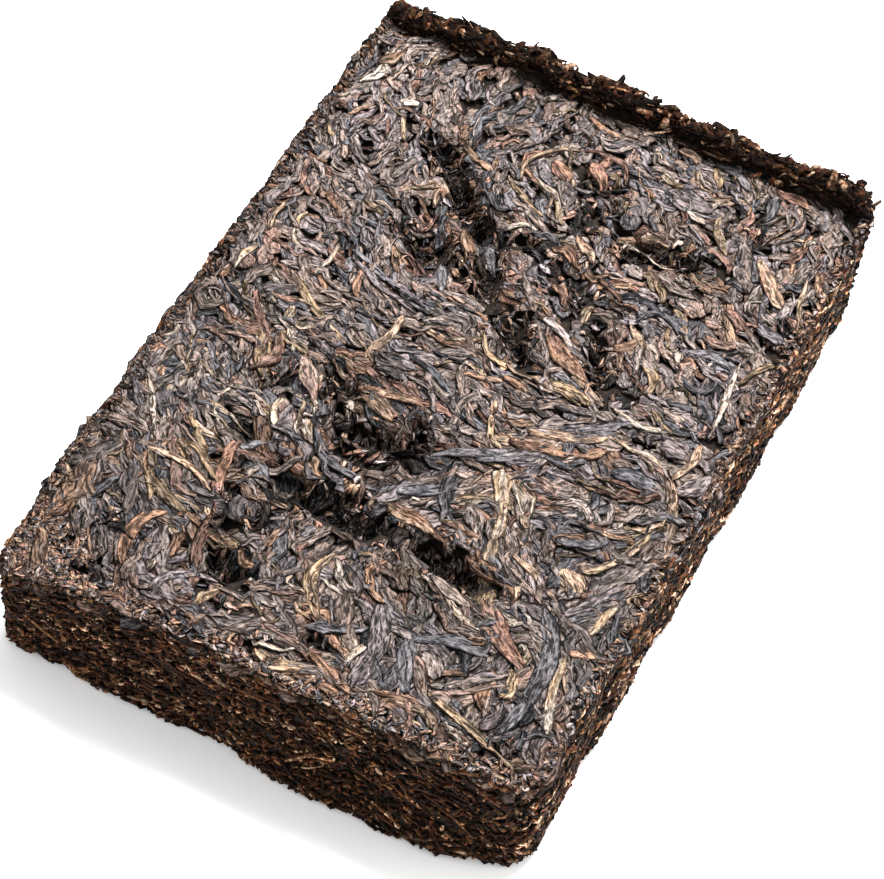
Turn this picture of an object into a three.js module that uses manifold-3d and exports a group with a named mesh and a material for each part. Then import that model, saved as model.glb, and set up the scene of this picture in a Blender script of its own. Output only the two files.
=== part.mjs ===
// A brick of pressed pu erh tea: whole leaves, broken leaves and twigs steamed and pressed in a
// rectangular mould. Millimetres, +Z up, the long side along Y, the origin in the middle of the base.
//
// The brick is one solid. Its core is a slab with rounded corners, a base a little narrower than the
// top, hollows pressed into the top face, a ragged rim along the back edge, a low one along the left
// edge and flash along the foot of the front. The largest leaves and twigs are fused on at true size.
import * as THREE from "three";
import { mergeVertices } from "three/addons/utils/BufferGeometryUtils.js";
import Module from "manifold-3d";

// Driving dimensions: the inside of the mould and the height of the top face.
const WIDTH = 91;
const LENGTH = 140;
const FACE_HEIGHT = 24.5;
const RIM_HEIGHT = 5;

const HALF_WIDTH = WIDTH / 2;
const HALF_LENGTH = LENGTH / 2;
const MOULD_HEIGHT = FACE_HEIGHT + RIM_HEIGHT;

// The walls: how far they lean in at the foot, how uneven they are, and how round the edges are.
const LONG_WALL_TAPER = 0.5;
const SHORT_WALL_TAPER = 1.8;
const CORNER_TAPER = 0.6;
const WALL_RAGGEDNESS = 1.1;
const WALL_STANDS_OUT = 0.5;
const EDGE_ROUND = 0.9;
const FOOT_ROUND = 0.4;
const FOOT_ROUND_HEIGHT = 2.5;
const BACK_LEFT_RADIUS = 1.5;
const FRONT_LEFT_RADIUS = 3.5;
const RIGHT_RADIUS = 4.5;

// The front left corner is worn away over this reach.
const WORN_REACH = 22;
const WORN_DEPTH = 3.4;

// The rim along the back edge, with crags of its own spacing, which widens towards the right.
const RIM_THICKNESS = 3.2;
const RIM_SLOPE = 1.4;
const RIM_UNEVENNESS = 0.8;
const RIM_LOW_END = 0.45;
const RIM_GROWS_OVER = 28;
const RIM_FALLS_OVER = 4;
const RIM_CRAG_AT = -1.2;
const RIM_CRAG_SPACING = 16.5;
const RIM_CRAGS_WIDEN = 0.07;
const RIM_DIPS = 0.4;
const RIM_NICKS = 0.2;

// The low rim along the left edge.
const LEFT_RIM_HEIGHT = 1.3;
const LEFT_RIM_THICKNESS = 1.8;
const LEFT_RIM_LOW_END = 0.35;
const LEFT_RIM_GROWS_FROM = -20;
const LEFT_RIM_NICKS = 0.4;

// Flash squeezed out at the foot of the front, between these two ends.
const FLASH_FROM = -4;
const FLASH_TO = 40;
const FLASH_GROWS_OVER = 14;
const FLASH_FALLS_OVER = 8;
const FLASH_DEPTH = 2.3;
const FLASH_HEIGHT = 9;

// The core's grid, as shares of the half width, the half length and the height. Its lines crowd
// where the slab turns over its edges and over the rims.
const CELLS_ACROSS = 24;
const CELLS_ALONG = 35;
const evenly = (from, to, cells) =>
  Array.from({ length: cells + 1 }, (_, i) => from + ((to - from) * i) / cells);
const COLUMNS = [-1, -0.972, ...evenly(-0.945, 0.975, CELLS_ACROSS), 1];
const ROWS = [-1, ...evenly(-0.982, 0.94, CELLS_ALONG), 0.962, 0.985, 1];
const LEVELS = [0, 0.1, 0.4, 0.72, 0.96, 1];
const CORE_DEPTH_BELOW_BASE = 1;
const CORE_LEAN_STEEPNESS = 12;
const MERGE_TOLERANCE = 1e-4;

// Hollows in the top face: from and to are the ends of each one's floor, width is its full width.
const HOLLOW_STEEPNESS = 1.2;
const HOLLOWS = [
  { from: [-25, 46], to: [-17, 38], width: 6, depth: 2.4 },
  { from: [-17, 38], to: [-9, 31], width: 6.5, depth: 3.8 },
  { from: [-20, 30], to: [-15, 20], width: 6, depth: 2.6 },
  { from: [-7, 28], to: [-3, 18], width: 6.5, depth: 3.0 },
  { from: [3, 15], to: [8, 8], width: 5, depth: 2.6 },
  { from: [11, 43], to: [25, 41], width: 6, depth: 2.0 },
  { from: [10, 31], to: [14, 22], width: 5, depth: 1.6 },
  { from: [16, 20], to: [21, 11], width: 4.5, depth: 2.0 },
  { from: [-11, -21], to: [2, -15], width: 6, depth: 2.6 },
  { from: [-16, -32], to: [1, -35], width: 6, depth: 3.4 },
  { from: [11, -35], to: [20, -36], width: 6.5, depth: 3.0 },
  { from: [-20, -46], to: [-13, -55], width: 5, depth: 3.2 },
  { from: [-16, -8], to: [-13, -12], width: 5, depth: 1.6 },
  { from: [44, -14], to: [44, -17], width: 5, depth: 2.2 },
];

// Single large leaves and twigs that stand out on the top face, as the middle of each one, the way it
// runs in degrees from +X, its length and width, and how far it turns over its length in degrees.
const LARGE_LEAVES = [
  { middle: [19, -26], heading: -68, length: 26, width: 2.0, turn: 12 },
  { middle: [28, -46], heading: -48, length: 15, width: 2.4, turn: -10 },
  { middle: [35.5, 26], heading: -62, length: 13, width: 2.6, turn: 0 },
  { middle: [-14, -1], heading: 82, length: 12, width: 1.5, turn: 0 },
  { middle: [-27.5, -54], heading: 85, length: 15, width: 2.4, turn: -60 },
  { middle: [8, -9], heading: 22, length: 20, width: 2.2, turn: -14 },
  { middle: [39, 20], heading: 88, length: 20, width: 1.3, turn: 6 },
  { middle: [41, -10], heading: -72, length: 18, width: 1.6, turn: 8 },
  { middle: [38, -50], heading: -80, length: 18, width: 3.4, turn: 14 },
  { middle: [13, -57], heading: -70, length: 13, width: 3.2, turn: -24 },
  { middle: [23, -50], heading: 14, length: 12, width: 2.4, turn: 30 },
  { middle: [-1, -54], heading: -58, length: 13, width: 1.7, turn: 22 },
  { middle: [15, 9], heading: -38, length: 14, width: 2.6, turn: 10 },
  { middle: [-38, -52], heading: -84, length: 14, width: 2.0, turn: 26 },
  { middle: [25, 0], heading: 12, length: 12, width: 2.2, turn: -8 },
  { middle: [-41, 14], heading: -78, length: 16, width: 1.8, turn: 20 },
];

// The rest of the leaves, by a rule. Lengths, widths and heights with two ends are drawn between them,
// and shake is the share of its cell, or the millimetres, that a leaf may be out of its place by. turn,
// tilt and swing are the full spread, in degrees, of how far leaves bend, lean and point aside.
const SCATTER_SEED = 20;
const FACE_LEAF = { length: [8, 17], width: [1.6, 3], turn: 90, across: 4, along: 5, shake: 0.6 };
const FACE_LEAVES_SHARE = 0.87;
const WALL_LEAF = { length: [9, 17], width: 2.2, turn: 30, tilt: 16, spacing: 22, shake: 0.6 };
const WALL_LEAF_DEPTH = 0.7;
const WALL_LEAF_MARGIN = 4;
const RIM_LEAF = { length: [4, 7], width: 2.2, turn: 40, tilt: 70, swing: 60, spacing: 5.5, shake: 2 };
const FLASH_LEAF = { length: [7, 11], width: 2.4, turn: 50, swing: 30, spacing: 4.4 };
const FLASH_LEAF_HEIGHT = [1.4, 2.6];
const FLASH_LEAF_DEPTH = 1.2;
const FLASH_LEAF_POINTS = -12;
const LEAF_SIDES = 5;
const LEAF_STEPS = 4;
const LEAF_FLATNESS = 0.55;
const LEAF_RISE = 0.15;
const LEAF_THINNING = 0.55;

const clamp01 = (x) => Math.min(1, Math.max(0, x));
const smooth = (x) => clamp01(x) ** 2 * (3 - 2 * clamp01(x));
const radians = THREE.MathUtils.degToRad;

// A seeded random number generator.
function randomFrom(seed) {
  let state = seed;
  return () => {
    state = (state * 1664525 + 1013904223) % 4294967296;
    return state / 4294967296;
  };
}

const within = (random, [from, to]) => from + (to - from) * random();
const around = (random, spread) => spread * (random() - 0.5);

// ---- the core -------------------------------------------------------------------------------------

// Uneven pressing: slow waves over a face, in millimetres.
const faceWave = (x, y) =>
  0.27 * Math.sin(x / 13 + 0.6) * Math.sin(y / 17 + 1.1) + 0.18 * Math.sin(x / 6 - y / 8 + 2);

// Ragged outline: a slow wave along an edge with quicker ones on it, between 0 and 1.
const edgeWave = (s) =>
  0.5 + 0.26 * Math.sin(s / 4.2 + 1.55) + 0.15 * Math.sin(s / 2.1 + 0.5) + 0.08 * Math.sin(s / 1.2);

function distanceToFloor(x, y, hollow) {
  const [fromX, fromY] = hollow.from;
  const [alongX, alongY] = [hollow.to[0] - fromX, hollow.to[1] - fromY];
  const share = clamp01(
    ((x - fromX) * alongX + (y - fromY) * alongY) / (alongX ** 2 + alongY ** 2),
  );
  return Math.hypot(x - fromX - share * alongX, y - fromY - share * alongY);
}

// How far the hollows take the face down at a point.
function hollowDepth(x, y) {
  return Math.max(
    ...HOLLOWS.map(
      (h) =>
        h.depth * Math.exp(-HOLLOW_STEEPNESS * (distanceToFloor(x, y, h) / (h.width / 2)) ** 2),
    ),
  );
}

// The crags of the back rim, from -1 between two crags to 1 on one.
const rimCrags = (x) =>
  Math.cos((2 * Math.PI * (x - RIM_CRAG_AT)) / (RIM_CRAG_SPACING + RIM_CRAGS_WIDEN * x));

// The rim that the press squeezed up along the back edge. It grows from the left corner and falls away
// at the right one. It dips and thins between its crags, and its top is nicked.
function backRim(x, y) {
  const thickness = RIM_THICKNESS + RIM_UNEVENNESS * rimCrags(x);
  const over = smooth((y - (HALF_LENGTH - thickness - RIM_SLOPE / 2)) / RIM_SLOPE);
  const grown = RIM_LOW_END + (1 - RIM_LOW_END) * smooth((x + HALF_WIDTH) / RIM_GROWS_OVER);
  const fallen = 1 - smooth((x - HALF_WIDTH + RIM_FALLS_OVER) / RIM_FALLS_OVER);
  const worn = (RIM_DIPS * (1 - rimCrags(x))) / 2 + RIM_NICKS * (1 - edgeWave(3 * x));
  return RIM_HEIGHT * over * grown * fallen * (1 - worn);
}

// The low rim along the left edge, which fades towards the front.
function leftRim(x, y) {
  const over = smooth((-x - (HALF_WIDTH - LEFT_RIM_THICKNESS)) / (LEFT_RIM_THICKNESS / 2));
  const grown =
    LEFT_RIM_LOW_END + (1 - LEFT_RIM_LOW_END) * smooth((y - LEFT_RIM_GROWS_FROM) / HALF_LENGTH);
  return LEFT_RIM_HEIGHT * over * grown * (1 - LEFT_RIM_NICKS * (1 - edgeWave(y)));
}

const cornerWear = (x, y) =>
  WORN_DEPTH * smooth(1 - Math.hypot(x + HALF_WIDTH, y + HALF_LENGTH) / WORN_REACH);

function faceHeight(x, y) {
  const rim = Math.max(backRim(x, y), leftRim(x, y));
  return FACE_HEIGHT + faceWave(x, y) + rim - hollowDepth(x, y) - cornerWear(x, y);
}

// Pulls a square's corners in to quarter circles.
function roundCorner(x, y) {
  const leftRadius = y > 0 ? BACK_LEFT_RADIUS : FRONT_LEFT_RADIUS;
  const radius = x > 0 ? RIGHT_RADIUS : leftRadius;
  const dx = Math.abs(x) - (HALF_WIDTH - radius);
  const dy = Math.abs(y) - (HALF_LENGTH - radius);
  if (dx <= 0 || dy <= 0) return [x, y];
  const pull = Math.max(dx, dy) / Math.hypot(dx, dy);
  return [
    Math.sign(x) * (HALF_WIDTH - radius + dx * pull),
    Math.sign(y) * (HALF_LENGTH - radius + dy * pull),
  ];
}

// How far the flash takes the foot of the front forward.
function frontFlash(x, y, height) {
  if (y > -HALF_LENGTH + 1) return 0;
  const grown = smooth((x - FLASH_FROM) / FLASH_GROWS_OVER);
  const left = smooth((FLASH_TO - x) / FLASH_FALLS_OVER);
  return FLASH_DEPTH * grown * left * (1 - smooth(height / FLASH_HEIGHT));
}

// How far the walls stand in from the mould, along X and along Y, at a point of the outline and a
// height.
function wallInset(x, y, height) {
  const towardCorner = ((x * y) / (HALF_WIDTH * HALF_LENGTH)) ** 2;
  const lean = (1 + CORNER_TAPER * towardCorner) * (1 - height / FACE_HEIGHT);
  const foot = FOOT_ROUND * (1 - smooth(height / FOOT_ROUND_HEIGHT));
  const ragged = WALL_RAGGEDNESS * edgeWave(x + y + 2 * Math.sin(height / 4));
  const uneven = foot + ragged - WALL_STANDS_OUT;
  return [
    LONG_WALL_TAPER * lean + uneven,
    SHORT_WALL_TAPER * lean + uneven - frontFlash(x, y, height),
  ];
}

function makeCore() {
  const cells = [COLUMNS.length - 1, ROWS.length - 1, LEVELS.length - 1];
  const slab = new THREE.BoxGeometry(...cells, ...cells);
  const place = slab.attributes.position;
  for (let i = 0; i < place.count; i++) {
    const u = COLUMNS[Math.round(place.getX(i) + cells[0] / 2)];
    const v = ROWS[Math.round(place.getY(i) + cells[1] / 2)];
    const up = LEVELS[Math.round(place.getZ(i) + cells[2] / 2)];
    const [x, y] = roundCorner(u * HALF_WIDTH, v * HALF_LENGTH);
    const height = up * (faceHeight(x, y) + CORE_DEPTH_BELOW_BASE) - CORE_DEPTH_BELOW_BASE;
    const turnedOver = up === 1 ? EDGE_ROUND : 0;
    const nearWall = Math.max(Math.abs(u), Math.abs(v)) ** CORE_LEAN_STEEPNESS;
    const [insetX, insetY] = wallInset(x, y, Math.max(height, 0));
    place.setXYZ(
      i,
      x * (1 - (nearWall * (insetX + turnedOver)) / HALF_WIDTH),
      y * (1 - (nearWall * (insetY + turnedOver)) / HALF_LENGTH),
      height,
    );
  }
  return slab;
}

// ---- leaves and twigs -----------------------------------------------------------------------------

// A curled leaf along +X, centred on the origin: a flattened tube that thins towards its ends and
// turns over its length.
function makeLeaf({ length, width, turn }) {
  const leaf = new THREE.CylinderGeometry(1, 1, 1, LEAF_SIDES, LEAF_STEPS);
  const place = leaf.attributes.position;
  const sag = (length / 2) * Math.tan(radians(turn) / 4);
  for (let i = 0; i < place.count; i++) {
    const share = 2 * place.getY(i);
    const half = (width / 2) * (1 - LEAF_THINNING * share ** 4);
    place.setXYZ(
      i,
      (length / 2) * share,
      sag * (1 - share ** 2) - place.getX(i) * half,
      place.getZ(i) * half * LEAF_FLATNESS,
    );
  }
  return leaf;
}

// Lays a leaf on the top face, following its ups and downs.
function onFace({ middle, heading, length, width, turn }) {
  const leaf = makeLeaf({ length, width, turn });
  leaf.rotateZ(radians(heading));
  leaf.translate(middle[0], middle[1], width * LEAF_FLATNESS * LEAF_RISE);
  const place = leaf.attributes.position;
  for (let i = 0; i < place.count; i++) {
    place.setZ(i, place.getZ(i) + faceHeight(place.getX(i), place.getY(i)));
  }
  return leaf;
}

// The large leaves of the table, then others spread evenly over the face.
function faceLeaves(random) {
  const laid = LARGE_LEAVES.map(onFace);
  const { across, along, shake } = FACE_LEAF;
  for (let column = 0; column < across; column++) {
    for (let row = 0; row < along; row++) {
      const x = -HALF_WIDTH + ((column + 0.5 + around(random, shake)) * WIDTH) / across;
      const y = -HALF_LENGTH + ((row + 0.5 + around(random, shake)) * LENGTH) / along;
      laid.push(
        onFace({
          middle: [x * FACE_LEAVES_SHARE, y * FACE_LEAVES_SHARE],
          heading: 180 * random(),
          length: within(random, FACE_LEAF.length),
          width: within(random, FACE_LEAF.width),
          turn: around(random, FACE_LEAF.turn),
        }),
      );
    }
  }
  return laid;
}

// A leaf of a scattered kind, before it is put in its place.
const drawLeaf = (random, { length, width, turn }) =>
  makeLeaf({ length: within(random, length), width, turn: around(random, turn) });

// Leaves whose edges show in the walls, lying in the layers of the brick.
function wallLeaves(random) {
  const laid = [];
  const walls = [
    { heading: 0, out: HALF_LENGTH, run: WIDTH, taper: SHORT_WALL_TAPER },
    { heading: 90, out: HALF_WIDTH, run: LENGTH, taper: LONG_WALL_TAPER },
    { heading: 180, out: HALF_LENGTH, run: WIDTH, taper: SHORT_WALL_TAPER },
    { heading: 270, out: HALF_WIDTH, run: LENGTH, taper: LONG_WALL_TAPER },
  ];
  for (const { heading, out, run, taper } of walls) {
    const count = Math.floor(run / WALL_LEAF.spacing);
    for (let k = 0; k < count; k++) {
      const leaf = drawLeaf(random, WALL_LEAF);
      const height = within(random, [WALL_LEAF_MARGIN, FACE_HEIGHT - WALL_LEAF_MARGIN]);
      const lean = taper * (1 - height / FACE_HEIGHT);
      leaf.rotateY(radians(around(random, WALL_LEAF.tilt)));
      const along = (k + 0.5 + around(random, WALL_LEAF.shake) - count / 2) * WALL_LEAF.spacing;
      leaf.translate(along, -out + lean + WALL_LEAF_DEPTH, height);
      leaf.rotateZ(radians(heading));
      laid.push(leaf);
    }
  }
  return laid;
}

// Crumbled leaf ends that stand up out of the back rim.
function rimLeaves(random) {
  const laid = [];
  const reach = HALF_WIDTH - RIGHT_RADIUS;
  for (let along = -reach; along <= reach; along += RIM_LEAF.spacing) {
    const leaf = drawLeaf(random, RIM_LEAF);
    leaf.rotateY(radians(around(random, RIM_LEAF.tilt)));
    leaf.rotateZ(radians(around(random, RIM_LEAF.swing)));
    const x = along + around(random, RIM_LEAF.shake);
    const y = HALF_LENGTH - RIM_THICKNESS / 2;
    leaf.translate(x, y, faceHeight(x, y));
    laid.push(leaf);
  }
  return laid;
}

// Leaf ends in the flash along the foot of the front.
function flashLeaves(random) {
  const laid = [];
  const [from, to] = [FLASH_FROM + FLASH_GROWS_OVER, FLASH_TO - FLASH_FALLS_OVER];
  for (let x = from; x <= to; x += FLASH_LEAF.spacing) {
    const leaf = drawLeaf(random, FLASH_LEAF);
    leaf.rotateZ(radians(FLASH_LEAF_POINTS + around(random, FLASH_LEAF.swing)));
    leaf.translate(x, -HALF_LENGTH + FLASH_LEAF_DEPTH, within(random, FLASH_LEAF_HEIGHT));
    laid.push(leaf);
  }
  return laid;
}

// ---- joining --------------------------------------------------------------------------------------

const wasm = await Module();
wasm.setup();

function toSolid(geometry) {
  const bare = geometry.clone();
  bare.deleteAttribute("normal");
  bare.deleteAttribute("uv");
  const merged = mergeVertices(bare, MERGE_TOLERANCE);
  return new wasm.Manifold(
    new wasm.Mesh({
      numProp: 3,
      vertProperties: new Float32Array(merged.attributes.position.array),
      triVerts: new Uint32Array(merged.index.array),
    }),
  );
}

function toGeometry(solid) {
  const { vertProperties, triVerts } = solid.getMesh();
  const geometry = new THREE.BufferGeometry();
  geometry.setAttribute("position", new THREE.BufferAttribute(vertProperties, 3));
  geometry.setIndex(new THREE.BufferAttribute(triVerts, 1));
  geometry.computeVertexNormals();
  return geometry;
}

// The press leaves nothing outside the mould, and the plate under it makes the base flat.
function mouldInside() {
  const inside = new THREE.BoxGeometry(WIDTH, LENGTH, MOULD_HEIGHT);
  inside.translate(0, 0, MOULD_HEIGHT / 2);
  return toSolid(inside);
}

// The largest body alone: pockets that the leaves seal are filled, and loose scraps are dropped.
function outerBody(solid) {
  const bodies = solid.decompose();
  return bodies.reduce((largest, body) => (body.volume() > largest.volume() ? body : largest));
}

function makeBrick() {
  const random = randomFrom(SCATTER_SEED);
  const leaves = [
    ...faceLeaves(random),
    ...wallLeaves(random),
    ...rimLeaves(random),
    ...flashLeaves(random),
  ];
  let brick = toSolid(makeCore());
  for (const leaf of leaves) brick = brick.add(toSolid(leaf));
  return toGeometry(outerBody(brick.intersect(mouldInside())));
}

const teaMaterial = new THREE.MeshStandardMaterial({
  color: new THREE.Color(0.13, 0.095, 0.07),
  roughness: 0.62,
  metalness: 0,
});

const brick = new THREE.Mesh(makeBrick(), teaMaterial);
brick.name = "tea_brick";

const teaBrick = new THREE.Group();
teaBrick.add(brick);

export default teaBrick;
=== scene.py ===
"""A brick of pressed pu erh tea, dressed leaf by leaf over the CAD model's shape.

Everything is worked out in millimetres and turned into metres when a mesh is made. The brick is a
crumbly core under a skin of pressed leaves, twigs and crumbs, each of them a closed solid.
"""
import math
from functools import reduce

import bpy
import numpy as np
from mathutils import Matrix, Vector


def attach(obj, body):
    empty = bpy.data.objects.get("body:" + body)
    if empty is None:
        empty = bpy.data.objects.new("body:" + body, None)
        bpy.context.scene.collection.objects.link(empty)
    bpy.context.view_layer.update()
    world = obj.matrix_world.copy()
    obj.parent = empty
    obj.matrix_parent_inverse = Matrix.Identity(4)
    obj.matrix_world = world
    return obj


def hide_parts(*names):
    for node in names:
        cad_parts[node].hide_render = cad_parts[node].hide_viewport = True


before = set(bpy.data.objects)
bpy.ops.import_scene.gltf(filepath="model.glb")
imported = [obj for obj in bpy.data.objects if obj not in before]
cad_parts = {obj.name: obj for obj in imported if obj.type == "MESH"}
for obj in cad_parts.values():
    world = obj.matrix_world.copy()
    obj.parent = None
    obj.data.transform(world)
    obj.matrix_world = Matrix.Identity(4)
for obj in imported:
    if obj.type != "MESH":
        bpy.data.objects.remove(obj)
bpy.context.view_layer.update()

MM = 0.001
TURN = 6.3  # about a full turn, in radians

# ---- the brick's shape, as in part.mjs -------------------------------------------------------------

WIDTH, LENGTH = 91.0, 140.0
FACE_HEIGHT = 24.5
RIM_HEIGHT = 5.0
HALF_WIDTH, HALF_LENGTH = WIDTH / 2, LENGTH / 2

LONG_WALL_TAPER, SHORT_WALL_TAPER, CORNER_TAPER = 0.5, 1.8, 0.6
WALL_RAGGEDNESS, WALL_STANDS_OUT = 1.1, 0.5
EDGE_ROUND = 0.9
FOOT_ROUND, FOOT_ROUND_HEIGHT = 0.4, 2.5
BACK_LEFT_RADIUS, FRONT_LEFT_RADIUS, RIGHT_RADIUS = 1.5, 3.5, 4.5
WORN_REACH, WORN_DEPTH = 22.0, 3.4
RIM_THICKNESS, RIM_SLOPE, RIM_UNEVENNESS = 3.2, 1.4, 0.8
RIM_LOW_END, RIM_GROWS_OVER, RIM_FALLS_OVER = 0.45, 28.0, 4.0
RIM_CRAG_AT, RIM_CRAG_SPACING, RIM_CRAGS_WIDEN = -1.2, 16.5, 0.07
RIM_DIPS, RIM_NICKS = 0.4, 0.2
LEFT_RIM_HEIGHT, LEFT_RIM_THICKNESS = 1.3, 1.8
LEFT_RIM_LOW_END, LEFT_RIM_GROWS_FROM, LEFT_RIM_NICKS = 0.35, -20.0, 0.4
FLASH_FROM, FLASH_TO, FLASH_GROWS_OVER, FLASH_FALLS_OVER = -4.0, 40.0, 14.0, 8.0
FLASH_DEPTH, FLASH_HEIGHT = 2.3, 9.0

# from x, from y, to x, to y, width, depth
HOLLOWS = np.array([
    (-25, 46, -17, 38, 6.0, 2.4),
    (-17, 38, -9, 31, 6.5, 3.8),
    (-20, 30, -15, 20, 6.0, 2.6),
    (-7, 28, -3, 18, 6.5, 3.0),
    (3, 15, 8, 8, 5.0, 2.6),
    (11, 43, 25, 41, 6.0, 2.0),
    (10, 31, 14, 22, 5.0, 1.6),
    (16, 20, 21, 11, 4.5, 2.0),
    (-11, -21, 2, -15, 6.0, 2.6),
    (-16, -32, 1, -35, 6.0, 3.4),
    (11, -35, 20, -36, 6.5, 3.0),
    (-20, -46, -13, -55, 5.0, 3.2),
    (-16, -8, -13, -12, 5.0, 1.6),
    (44, -14, 44, -17, 5.0, 2.2),
])

# the narrow pits, with nothing but crumbs in them: from x, from y, to x, to y, width
PIT_DEPTH = 2.0
PITS = np.array([
    (-26.4, 46.1, -20.5, 41.9, 3.4),
    (-20.5, 41.9, -14.8, 35.6, 4.2),
    (-15.6, 36.0, -10.5, 31.8, 5.0),
    (-20.6, 24.8, -17.0, 21.8, 4.2),
    (-15.2, 25.8, -13.8, 22.8, 3.6),
    (-8.6, 23.6, -4.2, 23.0, 3.2),
    (-5.0, 22.8, -4.0, 18.8, 3.8),
    (-6.8, 30.9, -2.2, 32.4, 2.8),
    (4.6, 44.4, 2.8, 39.6, 2.8),
    (4.0, 29.8, 9.0, 27.8, 4.0),
    (10.6, 27.6, 9.2, 23.2, 3.6),
    (2.6, 13.4, 7.2, 8.8, 4.0),
    (4.6, 16.6, 3.4, 13.6, 3.0),
    (14.7, 20.6, 17.9, 14.4, 3.2),
    (18.6, 13.6, 19.6, 11.2, 2.2),
    (1.5, 49.7, 5.1, 52.0, 1.8),
    (6.3, 48.1, 6.8, 47.6, 2.2),
    (13.2, 43.0, 19.4, 41.4, 3.2),
    (21.2, 43.2, 24.4, 44.4, 2.2),
    (11.8, 39.2, 15.8, 37.8, 2.2),
    (-18.6, -9.8, -13.4, -11.6, 3.4),
    (-16.8, -14.8, -16.4, -16.6, 2.6),
    (-24.0, -13.2, -23.8, -17.0, 2.2),
    (-10.4, -17.4, -3.4, -18.2, 4.2),
    (-4.0, -16.6, 1.4, -16.2, 3.0),
    (-1.7, -12.9, -0.7, -12.0, 1.8),
    (-10.2, -23.2, -5.6, -24.2, 3.6),
    (-23.4, -27.2, -22.2, -28.0, 2.6),
    (-22.8, -34.8, -22.5, -36.0, 1.8),
    (-20.8, -39.2, -20.3, -44.4, 1.6),
    (-13.5, -33.8, 1.6, -36.0, 5.6),
    (-6.6, -31.9, -4.0, -31.3, 3.0),
    (1.2, -33.2, 6.4, -34.6, 3.2),
    (9.8, -34.6, 20.4, -35.8, 4.6),
    (-17.6, -50.8, -15.8, -54.8, 4.0),
    (-15.6, -54.6, -11.2, -53.9, 3.2),
    (-14.9, -41.4, -13.8, -45.4, 2.0),
    (-34.4, -64.6, -31.7, -64.6, 1.8),
    (-34.2, -54.0, -34.2, -55.2, 1.6),
    (-4.5, -65.0, -3.6, -65.2, 2.0),
    (4.4, -58.3, 3.0, -61.6, 1.6),
    (-11.8, -61.0, -11.8, -62.2, 1.8),
    (37.0, -63.0, 37.4, -64.0, 2.0),
    (-40.7, 1.2, -40.7, -0.4, 1.8),
    (41.6, 38.2, 41.7, 37.2, 2.0),
    (30.1, 53.6, 30.1, 52.6, 2.2),
])


def smooth(x):
    """0 below 0, 1 above 1 and a smooth rise between."""
    x = np.clip(x, 0.0, 1.0)
    return x * x * (3 - 2 * x)


def across_way(flat):
    """Which way is across each path over the face."""
    forward = unit(np.gradient(flat, axis=1))
    return np.stack([-forward[..., 1], forward[..., 0]], -1)


def unit(v):
    return v / np.maximum(np.linalg.norm(v, axis=-1, keepdims=True), 1e-9)


def face_wave(x, y):
    return 0.27 * np.sin(x / 13 + 0.6) * np.sin(y / 17 + 1.1) + 0.18 * np.sin(x / 6 - y / 8 + 2)


def edge_wave(s):
    """How ragged an edge is along its length, about 0 to 1."""
    return (0.5 + 0.26 * np.sin(s / 4.2 + 1.55) + 0.15 * np.sin(s / 2.1 + 0.5)
            + 0.08 * np.sin(s / 1.2))


def away_from(x, y, row):
    """How far points are from the line that a row of HOLLOWS or PITS starts with, in its half widths."""
    x0, y0, x1, y1, width = row[:5]
    ax, ay = x1 - x0, y1 - y0
    share = np.clip(((x - x0) * ax + (y - y0) * ay) / (ax * ax + ay * ay), 0, 1)
    return np.hypot(x - x0 - share * ax, y - y0 - share * ay) / (width / 2)


def pit_share(x, y):
    """How far in a pit each point is, from 0 to 1. The pits have ragged edges."""
    ragged = 0.65 + 0.7 * layered_noise(x / 1.7, y / 1.7, 91)
    nearest = np.min([away_from(x, y, row) for row in PITS], 0)
    return 1 - smooth((nearest * ragged - 0.5) / 0.7)


def hollow_share(x, y):
    """(depth, nearness from 0 to 1) of the deepest hollow at each point."""
    bells = [np.exp(-1.2 * away_from(x, y, row) ** 2) for row in HOLLOWS]
    depth = np.max([row[5] * bell for row, bell in zip(HOLLOWS, bells)], 0)
    return depth, np.max(bells, 0)


def rim_crags(x):
    """The crags along the back rim, from -1 between them to 1 on them."""
    return np.cos(2 * np.pi * (x - RIM_CRAG_AT) / (RIM_CRAG_SPACING + RIM_CRAGS_WIDEN * x))


def rim_thickness(x):
    return RIM_THICKNESS + RIM_UNEVENNESS * rim_crags(x)


def rim_height(x):
    grown = RIM_LOW_END + (1 - RIM_LOW_END) * smooth((x + HALF_WIDTH) / RIM_GROWS_OVER)
    fallen = 1 - smooth((x - HALF_WIDTH + RIM_FALLS_OVER) / RIM_FALLS_OVER)
    worn = RIM_DIPS * (1 - rim_crags(x)) / 2 + RIM_NICKS * (1 - edge_wave(3 * x))
    return RIM_HEIGHT * grown * fallen * (1 - worn)


def back_rim(x, y):
    """How high the ragged rim along the back stands above the face."""
    over = smooth((y - (HALF_LENGTH - rim_thickness(x) - RIM_SLOPE / 2)) / RIM_SLOPE)
    return over * rim_height(x)


def left_rim(x, y):
    """How high the low rim along the left edge stands above the face."""
    over = smooth((-x - (HALF_WIDTH - LEFT_RIM_THICKNESS)) / (LEFT_RIM_THICKNESS / 2))
    far = smooth((y - LEFT_RIM_GROWS_FROM) / HALF_LENGTH)
    grown = LEFT_RIM_LOW_END + (1 - LEFT_RIM_LOW_END) * far
    return LEFT_RIM_HEIGHT * over * grown * (1 - LEFT_RIM_NICKS * (1 - edge_wave(y)))


def corner_wear(x, y):
    """How deep the front left corner is worn down."""
    return WORN_DEPTH * smooth(1 - np.hypot(x + HALF_WIDTH, y + HALF_LENGTH) / WORN_REACH)


def face_with(rim, x, y):
    """The height of the top face, waves and all, with a rim on it."""
    sunk = hollow_share(x, y)[0] + PIT_DEPTH * pit_share(x, y) + corner_wear(x, y)
    return FACE_HEIGHT + face_wave(x, y) + rim - sunk


def face_height(x, y):
    return face_with(np.maximum(back_rim(x, y), left_rim(x, y)), x, y)


def pressed_face(x, y):
    """The top face without its back rim."""
    return face_with(left_rim(x, y), x, y)


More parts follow.
